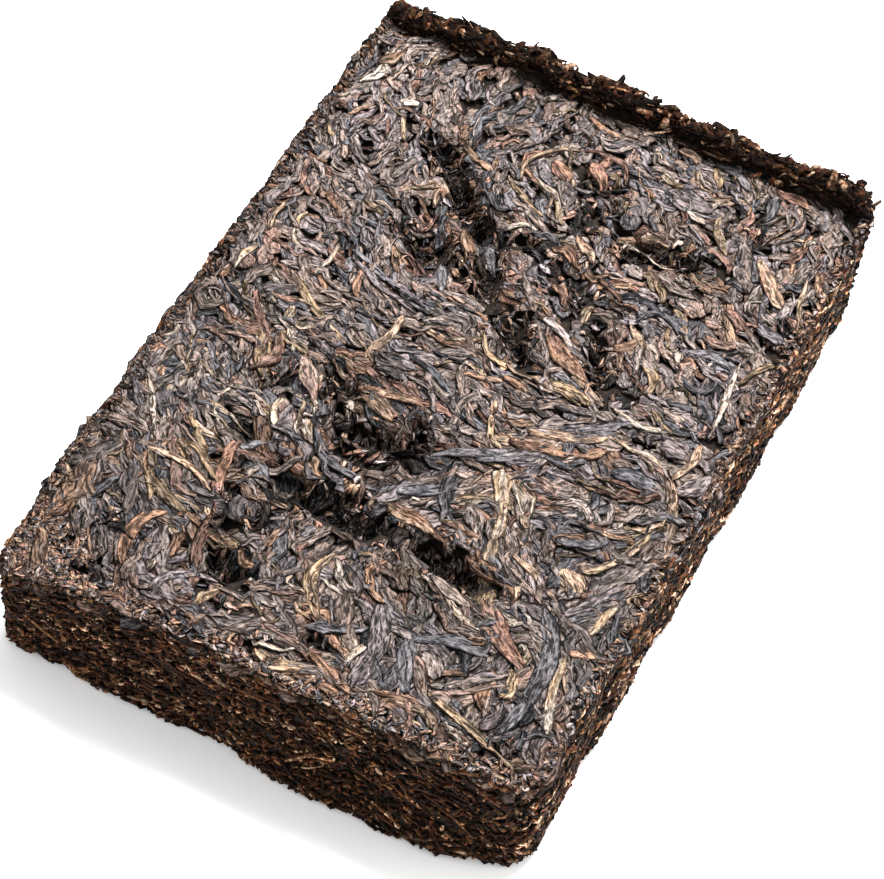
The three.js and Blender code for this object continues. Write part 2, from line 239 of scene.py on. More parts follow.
def face_normal(x, y, step=0.7):
    slope_x = (pressed_face(x + step, y) - pressed_face(x - step, y)) / (2 * step)
    slope_y = (pressed_face(x, y + step) - pressed_face(x, y - step)) / (2 * step)
    return unit(np.stack([-slope_x, -slope_y, np.ones_like(slope_x)], -1))


def round_corner(x, y):
    """Pulls points in the square corners of the outline back onto its round ones."""
    left_radius = np.where(y > 0, BACK_LEFT_RADIUS, FRONT_LEFT_RADIUS)
    radius = np.where(x > 0, RIGHT_RADIUS, left_radius)
    dx = np.abs(x) - (HALF_WIDTH - radius)
    dy = np.abs(y) - (HALF_LENGTH - radius)
    inside = (dx <= 0) | (dy <= 0)
    pull = np.where(inside, 1.0, np.maximum(dx, dy) / np.maximum(np.hypot(dx, dy), 1e-9))
    rx = np.sign(x) * (HALF_WIDTH - radius + dx * pull)
    ry = np.sign(y) * (HALF_LENGTH - radius + dy * pull)
    return np.where(inside, x, rx), np.where(inside, y, ry)


def front_flash(x, y, z):
    """How far the flash at the foot of the front wall stands out."""
    between = smooth((x - FLASH_FROM) / FLASH_GROWS_OVER) * smooth((FLASH_TO - x) / FLASH_FALLS_OVER)
    return np.where(y > -HALF_LENGTH + 1, 0.0,
                    FLASH_DEPTH * between * (1 - smooth(z / FLASH_HEIGHT)))


def wall_inset(x, y, z):
    """How far the walls lie inside the outline at height z, along x and along y."""
    toward_corner = ((x * y) / (HALF_WIDTH * HALF_LENGTH)) ** 2
    lean = (1 + CORNER_TAPER * toward_corner) * (1 - z / FACE_HEIGHT)
    foot = FOOT_ROUND * (1 - smooth(z / FOOT_ROUND_HEIGHT))
    ragged = WALL_RAGGEDNESS * edge_wave(x + y + 2 * np.sin(z / 4))
    uneven = foot + ragged - WALL_STANDS_OUT
    inset_x = np.maximum(LONG_WALL_TAPER * lean + uneven, 0.0)
    inset_y = np.maximum(SHORT_WALL_TAPER * lean + uneven - front_flash(x, y, z), 0.0)
    return inset_x, inset_y


def wall_uv(side, t):
    """The place on the mould's outline. side is 0 front, 1 right, 2 back, 3 left; t runs from -1 to 1."""
    on_side = [side == number for number in range(4)]
    return np.select(on_side, [t, 1.0, -t, -1.0]), np.select(on_side, [-1.0, t, 1.0, -t])


def wall_point(side, t, z, out):
    """Points on the four walls, at height z and standing outside the wall by out."""
    u, v = wall_uv(side, t)
    x, y = round_corner(u * HALF_WIDTH, v * HALF_LENGTH)
    inset_x, inset_y = wall_inset(x, y, np.maximum(z, 0))
    return x * (1 - (inset_x - out) / HALF_WIDTH), y * (1 - (inset_y - out) / HALF_LENGTH)


# ---- seeded noise ----------------------------------------------------------------------------------


def lattice(ix, iy, seed):
    """A number between 0 and 1 for each whole place, mixed from it and the seed."""
    h = (ix.astype(np.int64) * 374761393 + iy.astype(np.int64) * 668265263 + seed * 974711) & 0xFFFFFFFF
    h = ((h ^ (h >> 13)) * 1274126177) & 0xFFFFFFFF
    return ((h ^ (h >> 16)) & 0xFFFF) / 65535.0


def noise(x, y, seed):
    """Smooth value noise between 0 and 1, one lump for each unit."""
    ix, iy = np.floor(x), np.floor(y)
    fx, fy = smooth(x - ix), smooth(y - iy)
    a = lattice(ix, iy, seed) * (1 - fx) + lattice(ix + 1, iy, seed) * fx
    b = lattice(ix, iy + 1, seed) * (1 - fx) + lattice(ix + 1, iy + 1, seed) * fx
    return a * (1 - fy) + b * fy


def layered_noise(x, y, seed):
    return (0.55 * noise(x, y, seed) + 0.3 * noise(2.1 * x, 2.1 * y, seed + 1)
            + 0.15 * noise(4.3 * x, 4.3 * y, seed + 2))


# ---- materials -------------------------------------------------------------------------------------


class Nodes:
    """A short way to write a node material. Most methods add a node and give what comes out of it."""

    def __init__(self, name):
        self.material = bpy.data.materials.new(name)
        self.material.use_nodes = True
        self.tree = self.material.node_tree
        self.shader = self.tree.nodes["Principled BSDF"]

    def add(self, kind, *values, **settings):
        """A node with these settings, and with the values in its first inputs."""
        node = self.tree.nodes.new(kind)
        for key, value in settings.items():
            setattr(node, key, value)
        for value, socket in zip(values, node.inputs):
            self.put(value, socket)
        return node

    def put(self, value, socket):
        if isinstance(value, bpy.types.NodeSocket):
            self.tree.links.new(value, socket)
        else:
            socket.default_value = value

    def attribute(self, name):
        return self.add("ShaderNodeAttribute", attribute_name=name).outputs["Fac"]

    def object_place(self):
        return self.add("ShaderNodeTexCoord").outputs["Object"]

    def maths(self, operation, a, b=0.0, c=0.0):
        return self.add("ShaderNodeMath", a, b, c, operation=operation).outputs[0]

    def times(self, *values):
        return reduce(lambda a, b: self.maths("MULTIPLY", a, b), values)

    def plus(self, *values):
        return reduce(lambda a, b: self.maths("ADD", a, b), values)

    def less(self, value, by=1.0):
        """One less a share of a value."""
        return self.maths("SUBTRACT", 1.0, self.times(value, by))

    def from_middle(self, value):
        """How far a value is from a half, and to which side."""
        return self.maths("SUBTRACT", value, 0.5)

    def span(self, value, low, high, to_low=0.0, to_high=1.0):
        """Rises smoothly from to_low to to_high where the value goes from low to high."""
        return self.add("ShaderNodeMapRange", value, low, high, to_low, to_high,
                        interpolation_type="SMOOTHSTEP").outputs[0]

    def vector(self, x, y, z):
        return self.add("ShaderNodeCombineXYZ", x, y, z).outputs[0]

    def noise(self, vector, scale, detail=2.0, roughness=0.5, distortion=0.0):
        node = self.add("ShaderNodeTexNoise", vector)
        node.inputs["Scale"].default_value = scale
        node.inputs["Detail"].default_value = detail
        node.inputs["Roughness"].default_value = roughness
        node.inputs["Distortion"].default_value = distortion
        return node.outputs["Fac"]

    def ramp(self, value, stops):
        """The colour of a value on a palette."""
        node = self.add("ShaderNodeValToRGB", value)
        marks = node.color_ramp.elements
        while len(marks) < len(stops):
            marks.new(0.5)
        for mark, (at, colour) in zip(marks, stops):
            mark.position = at
            mark.color = (*colour, 1)
        return node.outputs["Color"]

    def scale_colour(self, colour, by):
        node = self.add("ShaderNodeVectorMath", colour, operation="SCALE")
        self.put(by, node.inputs["Scale"])
        return node.outputs[0]

    def surface(self, colour, roughness, specular):
        names = ("Base Color", "Roughness", "Specular IOR Level")
        for value, name in zip((colour, roughness, specular), names):
            self.put(value, self.shader.inputs[name])

    def bump(self, height, distance):
        node = self.add("ShaderNodeBump")
        node.inputs["Strength"].default_value = 1.0
        node.inputs["Distance"].default_value = distance
        self.put(height, node.inputs["Height"])
        self.put(node.outputs[0], self.shader.inputs["Normal"])


# how far the colour drifts within a leaf, the bump's height in metres and the ranges of the others
LEAF_DRIFT, LEAF_RELIEF = 0.25, 0.00045
LEAF_ROUGHNESS, LEAF_SPECULAR = (0.34, 0.60), (0.06, 0.3)
# how fine the winding cracks are, which are painted shade
WINDING_CRACKS = 380.0


def leaf_light(n, crease, half, across, fold, wrinkle, grain, place):
    """How bright a leaf is. Most of it is painted light and shade: painted shade between its folds and
    wrinkles and at its margin, painted highlights on their ridges and just inside the margin, and painted
    shade in fine winding cracks where it is smoother; a fine grain varies it a little."""
    in_folds, in_wrinkles = n.less(crease, 0.55), n.less(crease, 0.9)
    # painted shade in the folds and wrinkles, painted highlights on their ridges
    light = n.times(n.span(fold, 0.34, 0.58, in_folds, 1.1), n.span(wrinkle, 0.36, 0.54, in_wrinkles, 1.3))
    rim = n.times(n.less(n.maths("ABSOLUTE", across)), half)
    margin = n.maths("MINIMUM", n.times(half, 0.36), 0.33)
    # painted shade at the leaf's margin
    edge = n.span(rim, 0.0, margin, n.less(crease, 0.97), 1.0)
    # a painted highlight in a band just inside the margin
    lit = n.less(n.times(n.span(rim, 0.22, 0.36), n.span(rim, 0.42, 0.8, 1.0, 0.0)), -0.32)
    # painted shade in fine winding cracks, weaker on the more creased leaves
    winding = n.noise(place, WINDING_CRACKS, 2.0, 0.6, 0.5)
    crack_shade = n.span(n.maths("ABSOLUTE", n.from_middle(winding)), 0.004, 0.035,
                   n.maths("MAXIMUM", n.less(n.less(crease), 1.9), 0.05), 1.0)
    return n.times(light, n.span(grain, 0.3, 0.7, 0.86, 1.14), edge, lit, crack_shade), edge


def leaf_material():
    """Dried leaf: a colour by leaf, wrinkles along it with painted shade in dark lines between them and
    painted highlights on their ridges, and a slight gloss. Each leaf carries tone, shade and crease, a
    number each, and along, half and across: how far along it a point is and half its width there, both in
    millimetres, and the place across it from -1 to 1."""
    n = Nodes("tea_leaf_face")
    tone, shade, crease = n.attribute("tone"), n.attribute("shade"), n.attribute("crease")
    along, half, across = n.attribute("along"), n.attribute("half"), n.attribute("across")
    side = n.times(across, half)
    place = n.object_place()
    which = n.plus(n.times(tone, 61.0), n.times(shade, 47.0))

    def lines(along_by, across_by, *settings):
        """Noise drawn out along the leaf, different for each leaf."""
        return n.noise(n.vector(n.times(along, along_by), n.times(side, across_by), which), 1.0, *settings)

    drifting = lines(0.13, 0.7, 1.0)
    colour = n.ramp(n.plus(tone, n.times(n.from_middle(drifting), LEAF_DRIFT)), LEAF_PALETTE)
    fold, wrinkle = lines(0.25, 0.8, 1.0, 0.5, 0.5), lines(0.6, 2.1, 1.5, 0.55, 0.7)
    grain = n.noise(place, 2200.0, 2.0, 0.6)
    light, edge = leaf_light(n, crease, half, across, fold, wrinkle, grain, place)
    worn = n.noise(place, 900.0, 2.0)
    roughness = n.span(worn, 0.3, 0.7, *LEAF_ROUGHNESS)
    specular = n.span(n.times(wrinkle, edge), 0.35, 0.6, *LEAF_SPECULAR)
    n.surface(n.scale_colour(colour, n.times(light, shade)), roughness, specular)
    creases = n.times(crease, n.plus(n.span(fold, 0.3, 0.7), n.span(wrinkle, 0.34, 0.62)))
    n.bump(n.plus(creases, n.times(grain, 0.2)), LEAF_RELIEF)
    return n.material


WALL_DRIFT, WALL_SPECULAR, WALL_RELIEF = 1.3, 0.08, 0.0004


def wall_material():
    """The cut and crumbled edges of the leaves: dark brown, with small specks of other browns, and each
    flake painted darker towards its edges, as shade between the flakes.
    """
    n = Nodes("tea_leaf_wall")
    tone, shade, across = n.attribute("tone"), n.attribute("shade"), n.attribute("across")
    place = n.object_place()
    mottle = n.noise(place, 1000.0, 2.0, 0.6)
    grain = n.noise(place, 2600.0, 2.0, 0.65)
    colour = n.ramp(n.plus(tone, n.times(n.from_middle(mottle), WALL_DRIFT)), WALL_PALETTE)
    # painted shade: each flake darker towards its edges
    light = n.times(n.span(grain, 0.32, 0.68, 0.35, 1.6), shade,
                    n.span(n.maths("ABSOLUTE", across), 0.5, 1.0, 1.0, 0.5))
    n.surface(n.scale_colour(colour, light), n.span(mottle, 0.3, 0.7, 0.5, 0.75), WALL_SPECULAR)
    n.bump(n.plus(mottle, grain), WALL_RELIEF)
    return n.material


CORE_SPECULAR, CORE_RELIEF = 0.25, 0.0006
# the core's browns; the darkest, in the gaps between its grains, are painted shade
CORE_PALETTE = [(0.30, (0.006, 0.004, 0.003)), (0.50, (0.016, 0.010, 0.007)),
                (0.62, (0.035, 0.020, 0.012)), (0.78, (0.070, 0.042, 0.024))]


def core_material():
    """The crumbled tea that shows between the leaves: brown on its grains and nearly black in the gaps
    between them, that darkness being painted shade.
    """
    n = Nodes("tea_crumb")
    place = n.object_place()
    coarse = n.noise(place, 700.0, 3.0, 0.6)
    fine = n.noise(place, 2200.0, 3.0, 0.7)
    # darker where the bumps are low: painted shade in the gaps between the grains
    colour = n.ramp(coarse, CORE_PALETTE)
    colour = n.scale_colour(colour, n.span(fine, 0.3, 0.75, 0.4, 1.3))
    n.surface(colour, n.span(fine, 0.3, 0.7, 0.6, 0.85), CORE_SPECULAR)
    n.bump(n.plus(coarse, fine), CORE_RELIEF)
    return n.material


# tone: the colour of a leaf along one scale, from blue black to pale tan
TONES = {"black": 0.02, "slate": 0.12, "purple": 0.27, "grey": 0.40, "brown": 0.53, "red": 0.64,
         "orange": 0.73, "tan": 0.80, "olive": 0.87, "gold": 0.93, "pale": 0.98}
LEAF_PALETTE = [
    (0.00, (0.032, 0.030, 0.035)),
    (0.12, (0.124, 0.117, 0.126)),
    (0.27, (0.213, 0.169, 0.167)),
    (0.40, (0.248, 0.196, 0.172)),
    (0.53, (0.240, 0.176, 0.146)),
    (0.64, (0.218, 0.115, 0.086)),
    (0.73, (0.290, 0.164, 0.102)),
    (0.80, (0.342, 0.232, 0.166)),
    (0.87, (0.235, 0.172, 0.110)),
    (0.93, (0.330, 0.218, 0.130)),
    (1.00, (0.465, 0.383, 0.320)),
]
WALL_PALETTE = [
    (0.00, (0.010, 0.005, 0.003)),
    (0.35, (0.038, 0.014, 0.006)),
    (0.60, (0.090, 0.032, 0.014)),
    (0.75, (0.088, 0.055, 0.022)),
    (0.88, (0.190, 0.061, 0.026)),
    (1.00, (0.390, 0.265, 0.175)),
]


# ---- meshes ----------------------------------------------------------------------------------------


def put_in_scene(name, data):
    made = bpy.data.objects.new(name, data)
    bpy.context.scene.collection.objects.link(made)
    return made


def mesh_object(name, points, quads, uv, numbers, material):
    """An object made from arrays: points in millimetres, four-sided faces, a texture place for each face
    corner and a number for each point."""
    mesh = bpy.data.meshes.new(name)
    mesh.vertices.add(len(points))
    mesh.vertices.foreach_set("co", (points * MM).astype(np.float32).ravel())
    mesh.loops.add(quads.size)
    mesh.loops.foreach_set("vertex_index", quads.astype(np.int32).ravel())
    mesh.polygons.add(len(quads))
    mesh.polygons.foreach_set("loop_start", np.arange(0, quads.size, 4, dtype=np.int32))
    mesh.polygons.foreach_set("loop_total", np.full(len(quads), 4, dtype=np.int32))
    mesh.update(calc_edges=True)
    mesh.uv_layers.new(name="OFBake").data.foreach_set("uv", uv.astype(np.float32).ravel())
    for key, values in numbers.items():
        mesh.attributes.new(key, "FLOAT", "POINT").data.foreach_set("value", values.astype(np.float32))
    mesh.polygons.foreach_set("use_smooth", np.ones(len(quads), dtype=bool))
    mesh.materials.append(material)
    mesh.validate()
    piece = put_in_scene(name, mesh)
    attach(piece, "root")
    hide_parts("tea_brick")


# where a leaf's bands and ends lie in its cell of the texture map
MAP_START, MAP_SPAN, MAP_FOOT, MAP_HEIGHT = 0.1, 0.8, 0.04, 0.92
MAP_ENDS, MAP_END_WIDTH, MAP_END_SHARE = (0.02, 0.94), 0.04, 0.9
EDGE_THINS = 0.5


def leaf_faces(steps, columns):
    """The faces of one leaf: bands from each ring to the next, then its two ends."""
    sides = 2 * columns
    ring = np.arange(sides)
    following = (ring + 1) % sides
    index = np.arange(steps * sides).reshape(steps, sides)
    corners = [index[:-1, ring], index[1:, ring], index[1:, following], index[:-1, following]]
    j = np.arange(columns - 1)
    end = np.stack([j, j + 1, sides - 2 - j, sides - 1 - j], -1)
    return np.concatenate([np.stack(corners, -1).reshape(-1, 4), index[0][end], index[-1][end[:, ::-1]]])


def leaf_map(steps, columns):
    """Texture places for the faces of one leaf inside a cell: its bands in the middle, its ends beside."""
    sides = 2 * columns
    s = np.linspace(0, 1, steps)
    step_of, side_of = np.divmod(np.arange((steps - 1) * sides), sides)
    u0, u1 = MAP_START + MAP_SPAN * s[step_of], MAP_START + MAP_SPAN * s[step_of + 1]
    v0, v1 = MAP_FOOT + MAP_HEIGHT * side_of / sides, MAP_FOOT + MAP_HEIGHT * (side_of + 1) / sides
    corners = [np.stack(pair, -1) for pair in ((u0, v0), (u1, v0), (u1, v1), (u0, v1))]
    ends = []
    for left in MAP_ENDS:
        right = left + MAP_END_WIDTH
        for k in range(columns - 1):
            low, high = (MAP_FOOT + MAP_HEIGHT * at / (columns - 1) for at in (k, k + MAP_END_SHARE))
            ends.append([(left, low), (left, high), (right, high), (right, low)])
    return np.concatenate([np.stack(corners, 1), np.array(ends)])


def folded(fold, across, steps):
    """How far a leaf's middle stands out at each point, in folds that meander along the leaf."""
    depth, number, phase = (value[:, None, None] for value in fold)
    meander = phase + 1.5 * np.sin(4.4 * np.linspace(0, 1, steps) + 3 * phase[..., 0])[..., None]
    return depth * np.sin(np.pi * number * across + meander)


class Leaves:
    """Collects leaves of one kind, each a closed solid along a path, and makes them one mesh."""

    def __init__(self):
        self.points, self.quads, self.cells, self.numbers = [], [], [], []
        self.count = 0

    def add(self, path, up, width, thick, roll, tone, shade, columns=2, fold=None, crease=1.0):
        """path and up: (leaves, steps, 3). width, thick, roll: (leaves, steps). tone, shade: (leaves).
        Each leaf has both faces split alike into columns across. fold: (depth, number, phase) of the
        folds along the leaves, each (leaves). crease: one number, or (leaves)."""
        leaves, steps, _ = path.shape
        forward = unit(np.gradient(path, axis=1))
        across = unit(np.cross(forward, up))
        above = np.cross(across, forward)
        cos, sin = np.cos(roll)[..., None], np.sin(roll)[..., None]
        turned, raised = across * cos + above * sin, above * cos - across * sin

        line = np.linspace(1, -1, columns)
        ring = np.concatenate([line, line[::-1]])
        face = np.repeat([1.0, -1.0], columns)
        rise = face * ((thick / 2)[..., None] * (1 - EDGE_THINS * ring ** 4))
        if fold is not None:
            rise = folded(fold, ring, steps) + rise
        points = (path[:, :, None] + turned[:, :, None] * (width / 2)[..., None, None] * ring[:, None]
                  + raised[:, :, None] * rise[..., None])

        length = np.linalg.norm(np.diff(path, axis=1), axis=-1)
        along = np.concatenate([np.zeros((leaves, 1)), np.cumsum(length, 1)], 1)
        sides = len(ring)
        each = steps * sides
        offsets = self.count + each * np.arange(leaves)
        self.points.append(points.reshape(-1, 3))
        self.quads.append((leaf_faces(steps, columns)[None] + offsets[:, None, None]).reshape(-1, 4))
        self.cells.append((leaves, leaf_map(steps, columns)))
        self.numbers.append(np.stack([
            *(np.repeat(value[..., None], sides, -1).ravel() for value in (along, width / 2)),
            np.broadcast_to(ring, (leaves, steps, sides)).ravel(),
            *(np.repeat(value * np.ones(leaves), each) for value in (tone, shade, crease)),
        ]))
        self.count += leaves * each

    def make(self, name, material):
        """One mesh of all the leaves, each with a cell of its own in the texture map."""
        total = sum(leaves for leaves, _ in self.cells)
        columns = max(1, int(math.ceil(math.sqrt(total / 1.6))))
        rows = int(math.ceil(total / columns))
        size = np.array([1 / columns, 1 / rows])
        uvs, done = [], 0
        for leaves, uv in self.cells:
            row, column = np.divmod(done + np.arange(leaves), columns)
            corner = np.stack([column, row], -1) * size
            uvs.append((corner[:, None, None] + uv[None] * size).reshape(-1, 2))
            done += leaves
        names = ("along", "half", "across", "tone", "shade", "crease")
        mesh_object(name, np.concatenate(self.points), np.concatenate(self.quads),
                    np.concatenate(uvs), dict(zip(names, np.concatenate(self.numbers, 1))), material)


# ---- the core --------------------------------------------------------------------------------------

CORE_CELL = 1.1
CORE_UNDER_FACE = 1.7
CORE_INSIDE_WALL = 0.7
CORE_LUMPS = 0.9
CORE_BEHIND_RIM = 1.4
CORE_FOOT = 0.45


def core_sides():
    """Top, underside and walls of the core as grids: u and v from -1 to 1, the share of the height, both
    texture places, and whether its faces turn over."""
    across, along, up = (int(round(size / CORE_CELL)) + 1 for size in (WIDTH, LENGTH, FACE_HEIGHT))
    lines = np.linspace(-1, 1, across), np.linspace(-1, 1, along), np.linspace(0, 1, up)
    u, v = np.meshgrid(lines[0], lines[1], indexing="ij")
    yield u, v, np.ones_like(u), 0.23 * (u + 1), 0.35 * (v + 1), False
    yield u, v, np.zeros_like(u), 0.5 + 0.23 * (u + 1), 0.35 * (v + 1), True
    for row, (axis, sign) in enumerate(((0, 1), (0, -1), (1, 1), (1, -1))):
        t, w = np.meshgrid(lines[1 - axis], lines[2], indexing="ij")
        fixed = np.full_like(t, sign)
        u, v = (fixed, t) if axis == 0 else (t, fixed)
        yield u, v, w, 0.02 + 0.35 * (t + 1), 0.72 + 0.07 * (row + 0.9 * w), (sign > 0) == (axis == 1)


def core_points(u, v, up):
    """The lumpy skin of the core, a little inside the face and the walls."""
    x, y = round_corner(u * HALF_WIDTH, v * HALF_LENGTH)
    top = face_height(np.minimum(x + CORE_BEHIND_RIM, HALF_WIDTH), y - CORE_BEHIND_RIM)
    height = CORE_FOOT + up * (top - CORE_UNDER_FACE - CORE_FOOT)
    inset_x, inset_y = wall_inset(x, y, height)
    turned_over = EDGE_ROUND * (up > 0.999) + CORE_INSIDE_WALL
    lump = CORE_LUMPS * (layered_noise(x * 0.9 + 31, y * 0.9 + 17 + height * 0.8, 5) - 0.5)
    near_wall = np.maximum(np.abs(u), np.abs(v)) ** 12
    in_x = near_wall * (inset_x + turned_over - lump) / HALF_WIDTH
    in_y = near_wall * (inset_y + turned_over - lump) / HALF_LENGTH
    height = height + lump * smooth((up - 0.9) / 0.1)
    return np.stack([x * (1 - in_x), y * (1 - in_y), height], -1)


def corners_of(grid):
    """The four corners of each cell of a grid."""
    return [grid[:-1, :-1], grid[1:, :-1], grid[1:, 1:], grid[:-1, 1:]]


def core():
    """The crumbled inside of the brick, about a millimetre under its leaves."""
    points, quads, uvs, count = [], [], [], 0
    for u, v, up, map_u, map_v, flip in core_sides():
        corners = corners_of(count + np.arange(u.size).reshape(u.shape))
        maps = corners_of(np.stack([map_u, map_v], -1))
        if flip:
            corners, maps = corners[::-1], maps[::-1]
        points.append(core_points(u, v, up).reshape(-1, 3))
        quads.append(np.stack(corners, -1).reshape(-1, 4))
        uvs.append(np.stack(maps, 2).reshape(-1, 2))
        count += u.size
    points, quads, uvs = np.concatenate(points), np.concatenate(quads), np.concatenate(uvs)
    _, first, same = np.unique(np.round(points, 4), axis=0, return_index=True, return_inverse=True)
    mesh_object("tea_core", points[first], same.reshape(-1)[quads], uvs, {}, core_material())


# ---- where and how the leaves lie ------------------------------------------------------------------

# x, y and the way the leaves lie there, in degrees from the x axis
LIE = np.array([
    (-40, 50, 90), (-40, 20, 97), (-40, -20, 98), (-40, -50, 102), (-28, 60, 60), (-24, 40, 112),
    (-30, 10, 130), (-24, -8, 140), (-32, -32, 160), (-24, -44, 170), (-28, -58, 100), (-8, 56, 90),
    (-8, 40, 145), (-10, 24, 135), (-14, 8, 155), (-14, -12, 120), (-6, -2, 165), (-4, -40, 90),
    (4, 62, 0), (8, 24, 142), (6, 6, 155), (2, -10, 175), (4, -22, 35), (10, -46, 95), (0, -62, 175),
    (-20, -65, 172), (20, 48, 150), (20, 30, 145), (22, 14, 148), (20, 0, 5), (26, -8, 20),
    (24, -26, 140), (24, -42, 160), (18, -56, 110), (20, -65, 175), (32, 52, 110), (32, 30, 140),
    (34, 6, 175), (32, -20, 50), (32, -44, 155), (42, 40, 107), (42, 10, 95), (42, -30, 80),
    (41, -56, 90),
])
LIE_REACH = 7.0
BROAD_SWAY, FINE_SWAY = 1.5, 0.9


def way_of_leaves(x, y):
    """The way the leaves tend to lie on the top face, in radians, and the same as a half turn on."""
    twice = np.radians(2 * LIE[:, 2])
    far = (x[..., None] - LIE[:, 0]) ** 2 + (y[..., None] - LIE[:, 1]) ** 2
    weight = 1 / (LIE_REACH ** 2 + far) ** 2
    even = 0.5 * np.arctan2((weight * np.sin(twice)).sum(-1), (weight * np.cos(twice)).sum(-1))
    broad, fine = noise(x / 7 + 7, y / 7 + 3, 41), noise(x / 3, y / 3 + 9, 43)
    return even + BROAD_SWAY * (broad - 0.5) + FINE_SWAY * (fine - 0.5)


def traced(rng, middle, length, loose, bend, steps):
    """Paths that follow the way the leaves lie, from the middle out both ways: (leaves, steps, 2)."""
    count = len(middle)
    off = rng.normal(0, loose, count)
    turn = rng.normal(0, bend, count)
    wiggle = rng.uniform(0.05, 0.5, count)
    wave = rng.uniform(2.5, 6.0, count)
    start = rng.uniform(0, 2 * np.pi, count)
    step = length / (steps - 1)
    way = way_of_leaves(*middle.T)
    halves = []
    for sign in (1, -1):
        point = middle.copy()
        last = way + (0 if sign > 0 else np.pi)
        half = []
        for k in range(steps // 2 + 1):
            half.append(point.copy())
            here = way_of_leaves(*point.T)
            here = here + np.pi * np.round((last - here) / np.pi)
            last = here
            gone = sign * k * step
            heading = here + off + turn * gone / length * 2 + wiggle * np.sin(gone / wave * 6.28 + start)
            point += step[:, None] * np.stack([np.cos(heading), np.sin(heading)], -1)
        halves.append(np.array(half).swapaxes(0, 1))
    forward, back = halves
    return np.concatenate([back[:, 1:][:, ::-1], forward], 1)[:, :steps]


def bent(rng, middle, heading, length, turn, steps):
    """Plain arcs: (leaves, steps, 2)."""
    s = np.linspace(-0.5, 0.5, steps)[None]
    way = heading[:, None] + turn[:, None] * s
    step = (length / (steps - 1))[:, None]
    x = np.cumsum(np.cos(way) * step, 1)
    y = np.cumsum(np.sin(way) * step, 1)
    x += middle[:, :1] - x.mean(1, keepdims=True)
    y += middle[:, 1:] - y.mean(1, keepdims=True)
    return np.stack([x, y], -1)


def spread(rng, count, low, high):
    """Points spread evenly over a box: one in each cell of a grid, shaken."""
    size = np.subtract(high, low)
    across = max(1, int(round(math.sqrt(count * size[0] / size[1]))))
    along = int(math.ceil(count / across))
    i, j = np.divmod(np.arange(across * along), along)
    order = rng.permutation(across * along)[:count]
    shaken = np.stack([i, j], -1)[order] + rng.uniform(-0.15, 1.15, (count, 2))
    return low + shaken / (across, along) * size


def form(rng, leaves, steps, blunt=0.5):
    """How wide each leaf is along its length, as a share: narrow at the ends, uneven between."""
    s = np.linspace(-1, 1, steps)[None]
    lean = rng.uniform(-0.3, 0.3, (leaves, 1))
    shape = 1 - (1 - blunt) * np.abs(s + lean * (1 - s * s)) ** 4
    wave = 1 + 0.24 * np.sin(s * rng.uniform(2, 6, (leaves, 1)) + rng.uniform(0, TURN, (leaves, 1)))
    return shape * wave


FACE_IN = 0.4
BACK_END, BACK_RAGGED = HALF_LENGTH - 3.4, 0.8
HANGS_DOWN, HANGS_OUT = 1.2, 0.3


def over_edge(flat):
    """Where a leaf reaches past the edge of the top face, it turns down over it. Gives the place on the
    face, how far down the wall it hangs, and the way out of the wall there."""
    x = flat[..., 0]
    y = np.minimum(flat[..., 1], BACK_END + BACK_RAGGED * noise(x / 2, 0 * x, 9))
    edge_x, edge_y = np.clip(x, -HALF_WIDTH, HALF_WIDTH), np.clip(y, -HALF_LENGTH, HALF_LENGTH)
    inset_x, inset_y = wall_inset(edge_x, edge_y, FACE_HEIGHT)
    over_x = np.maximum(np.abs(x) - (HALF_WIDTH - inset_x - FACE_IN), 0)
    over_y = np.maximum(-y - (HALF_LENGTH - inset_y - FACE_IN), 0)
    down = HANGS_DOWN * np.tanh(np.hypot(over_x, over_y) / HANGS_DOWN)
    kept_x = np.sign(x) * (np.abs(x) - over_x + HANGS_OUT * np.tanh(over_x))
    kept_y = y + over_y - HANGS_OUT * np.tanh(over_y)
    out = np.stack([np.sign(x) * over_x, -over_y, np.zeros_like(x)], -1)
    return np.stack(round_corner(kept_x, kept_y), -1), down, unit(out) * (down > 0)[..., None]


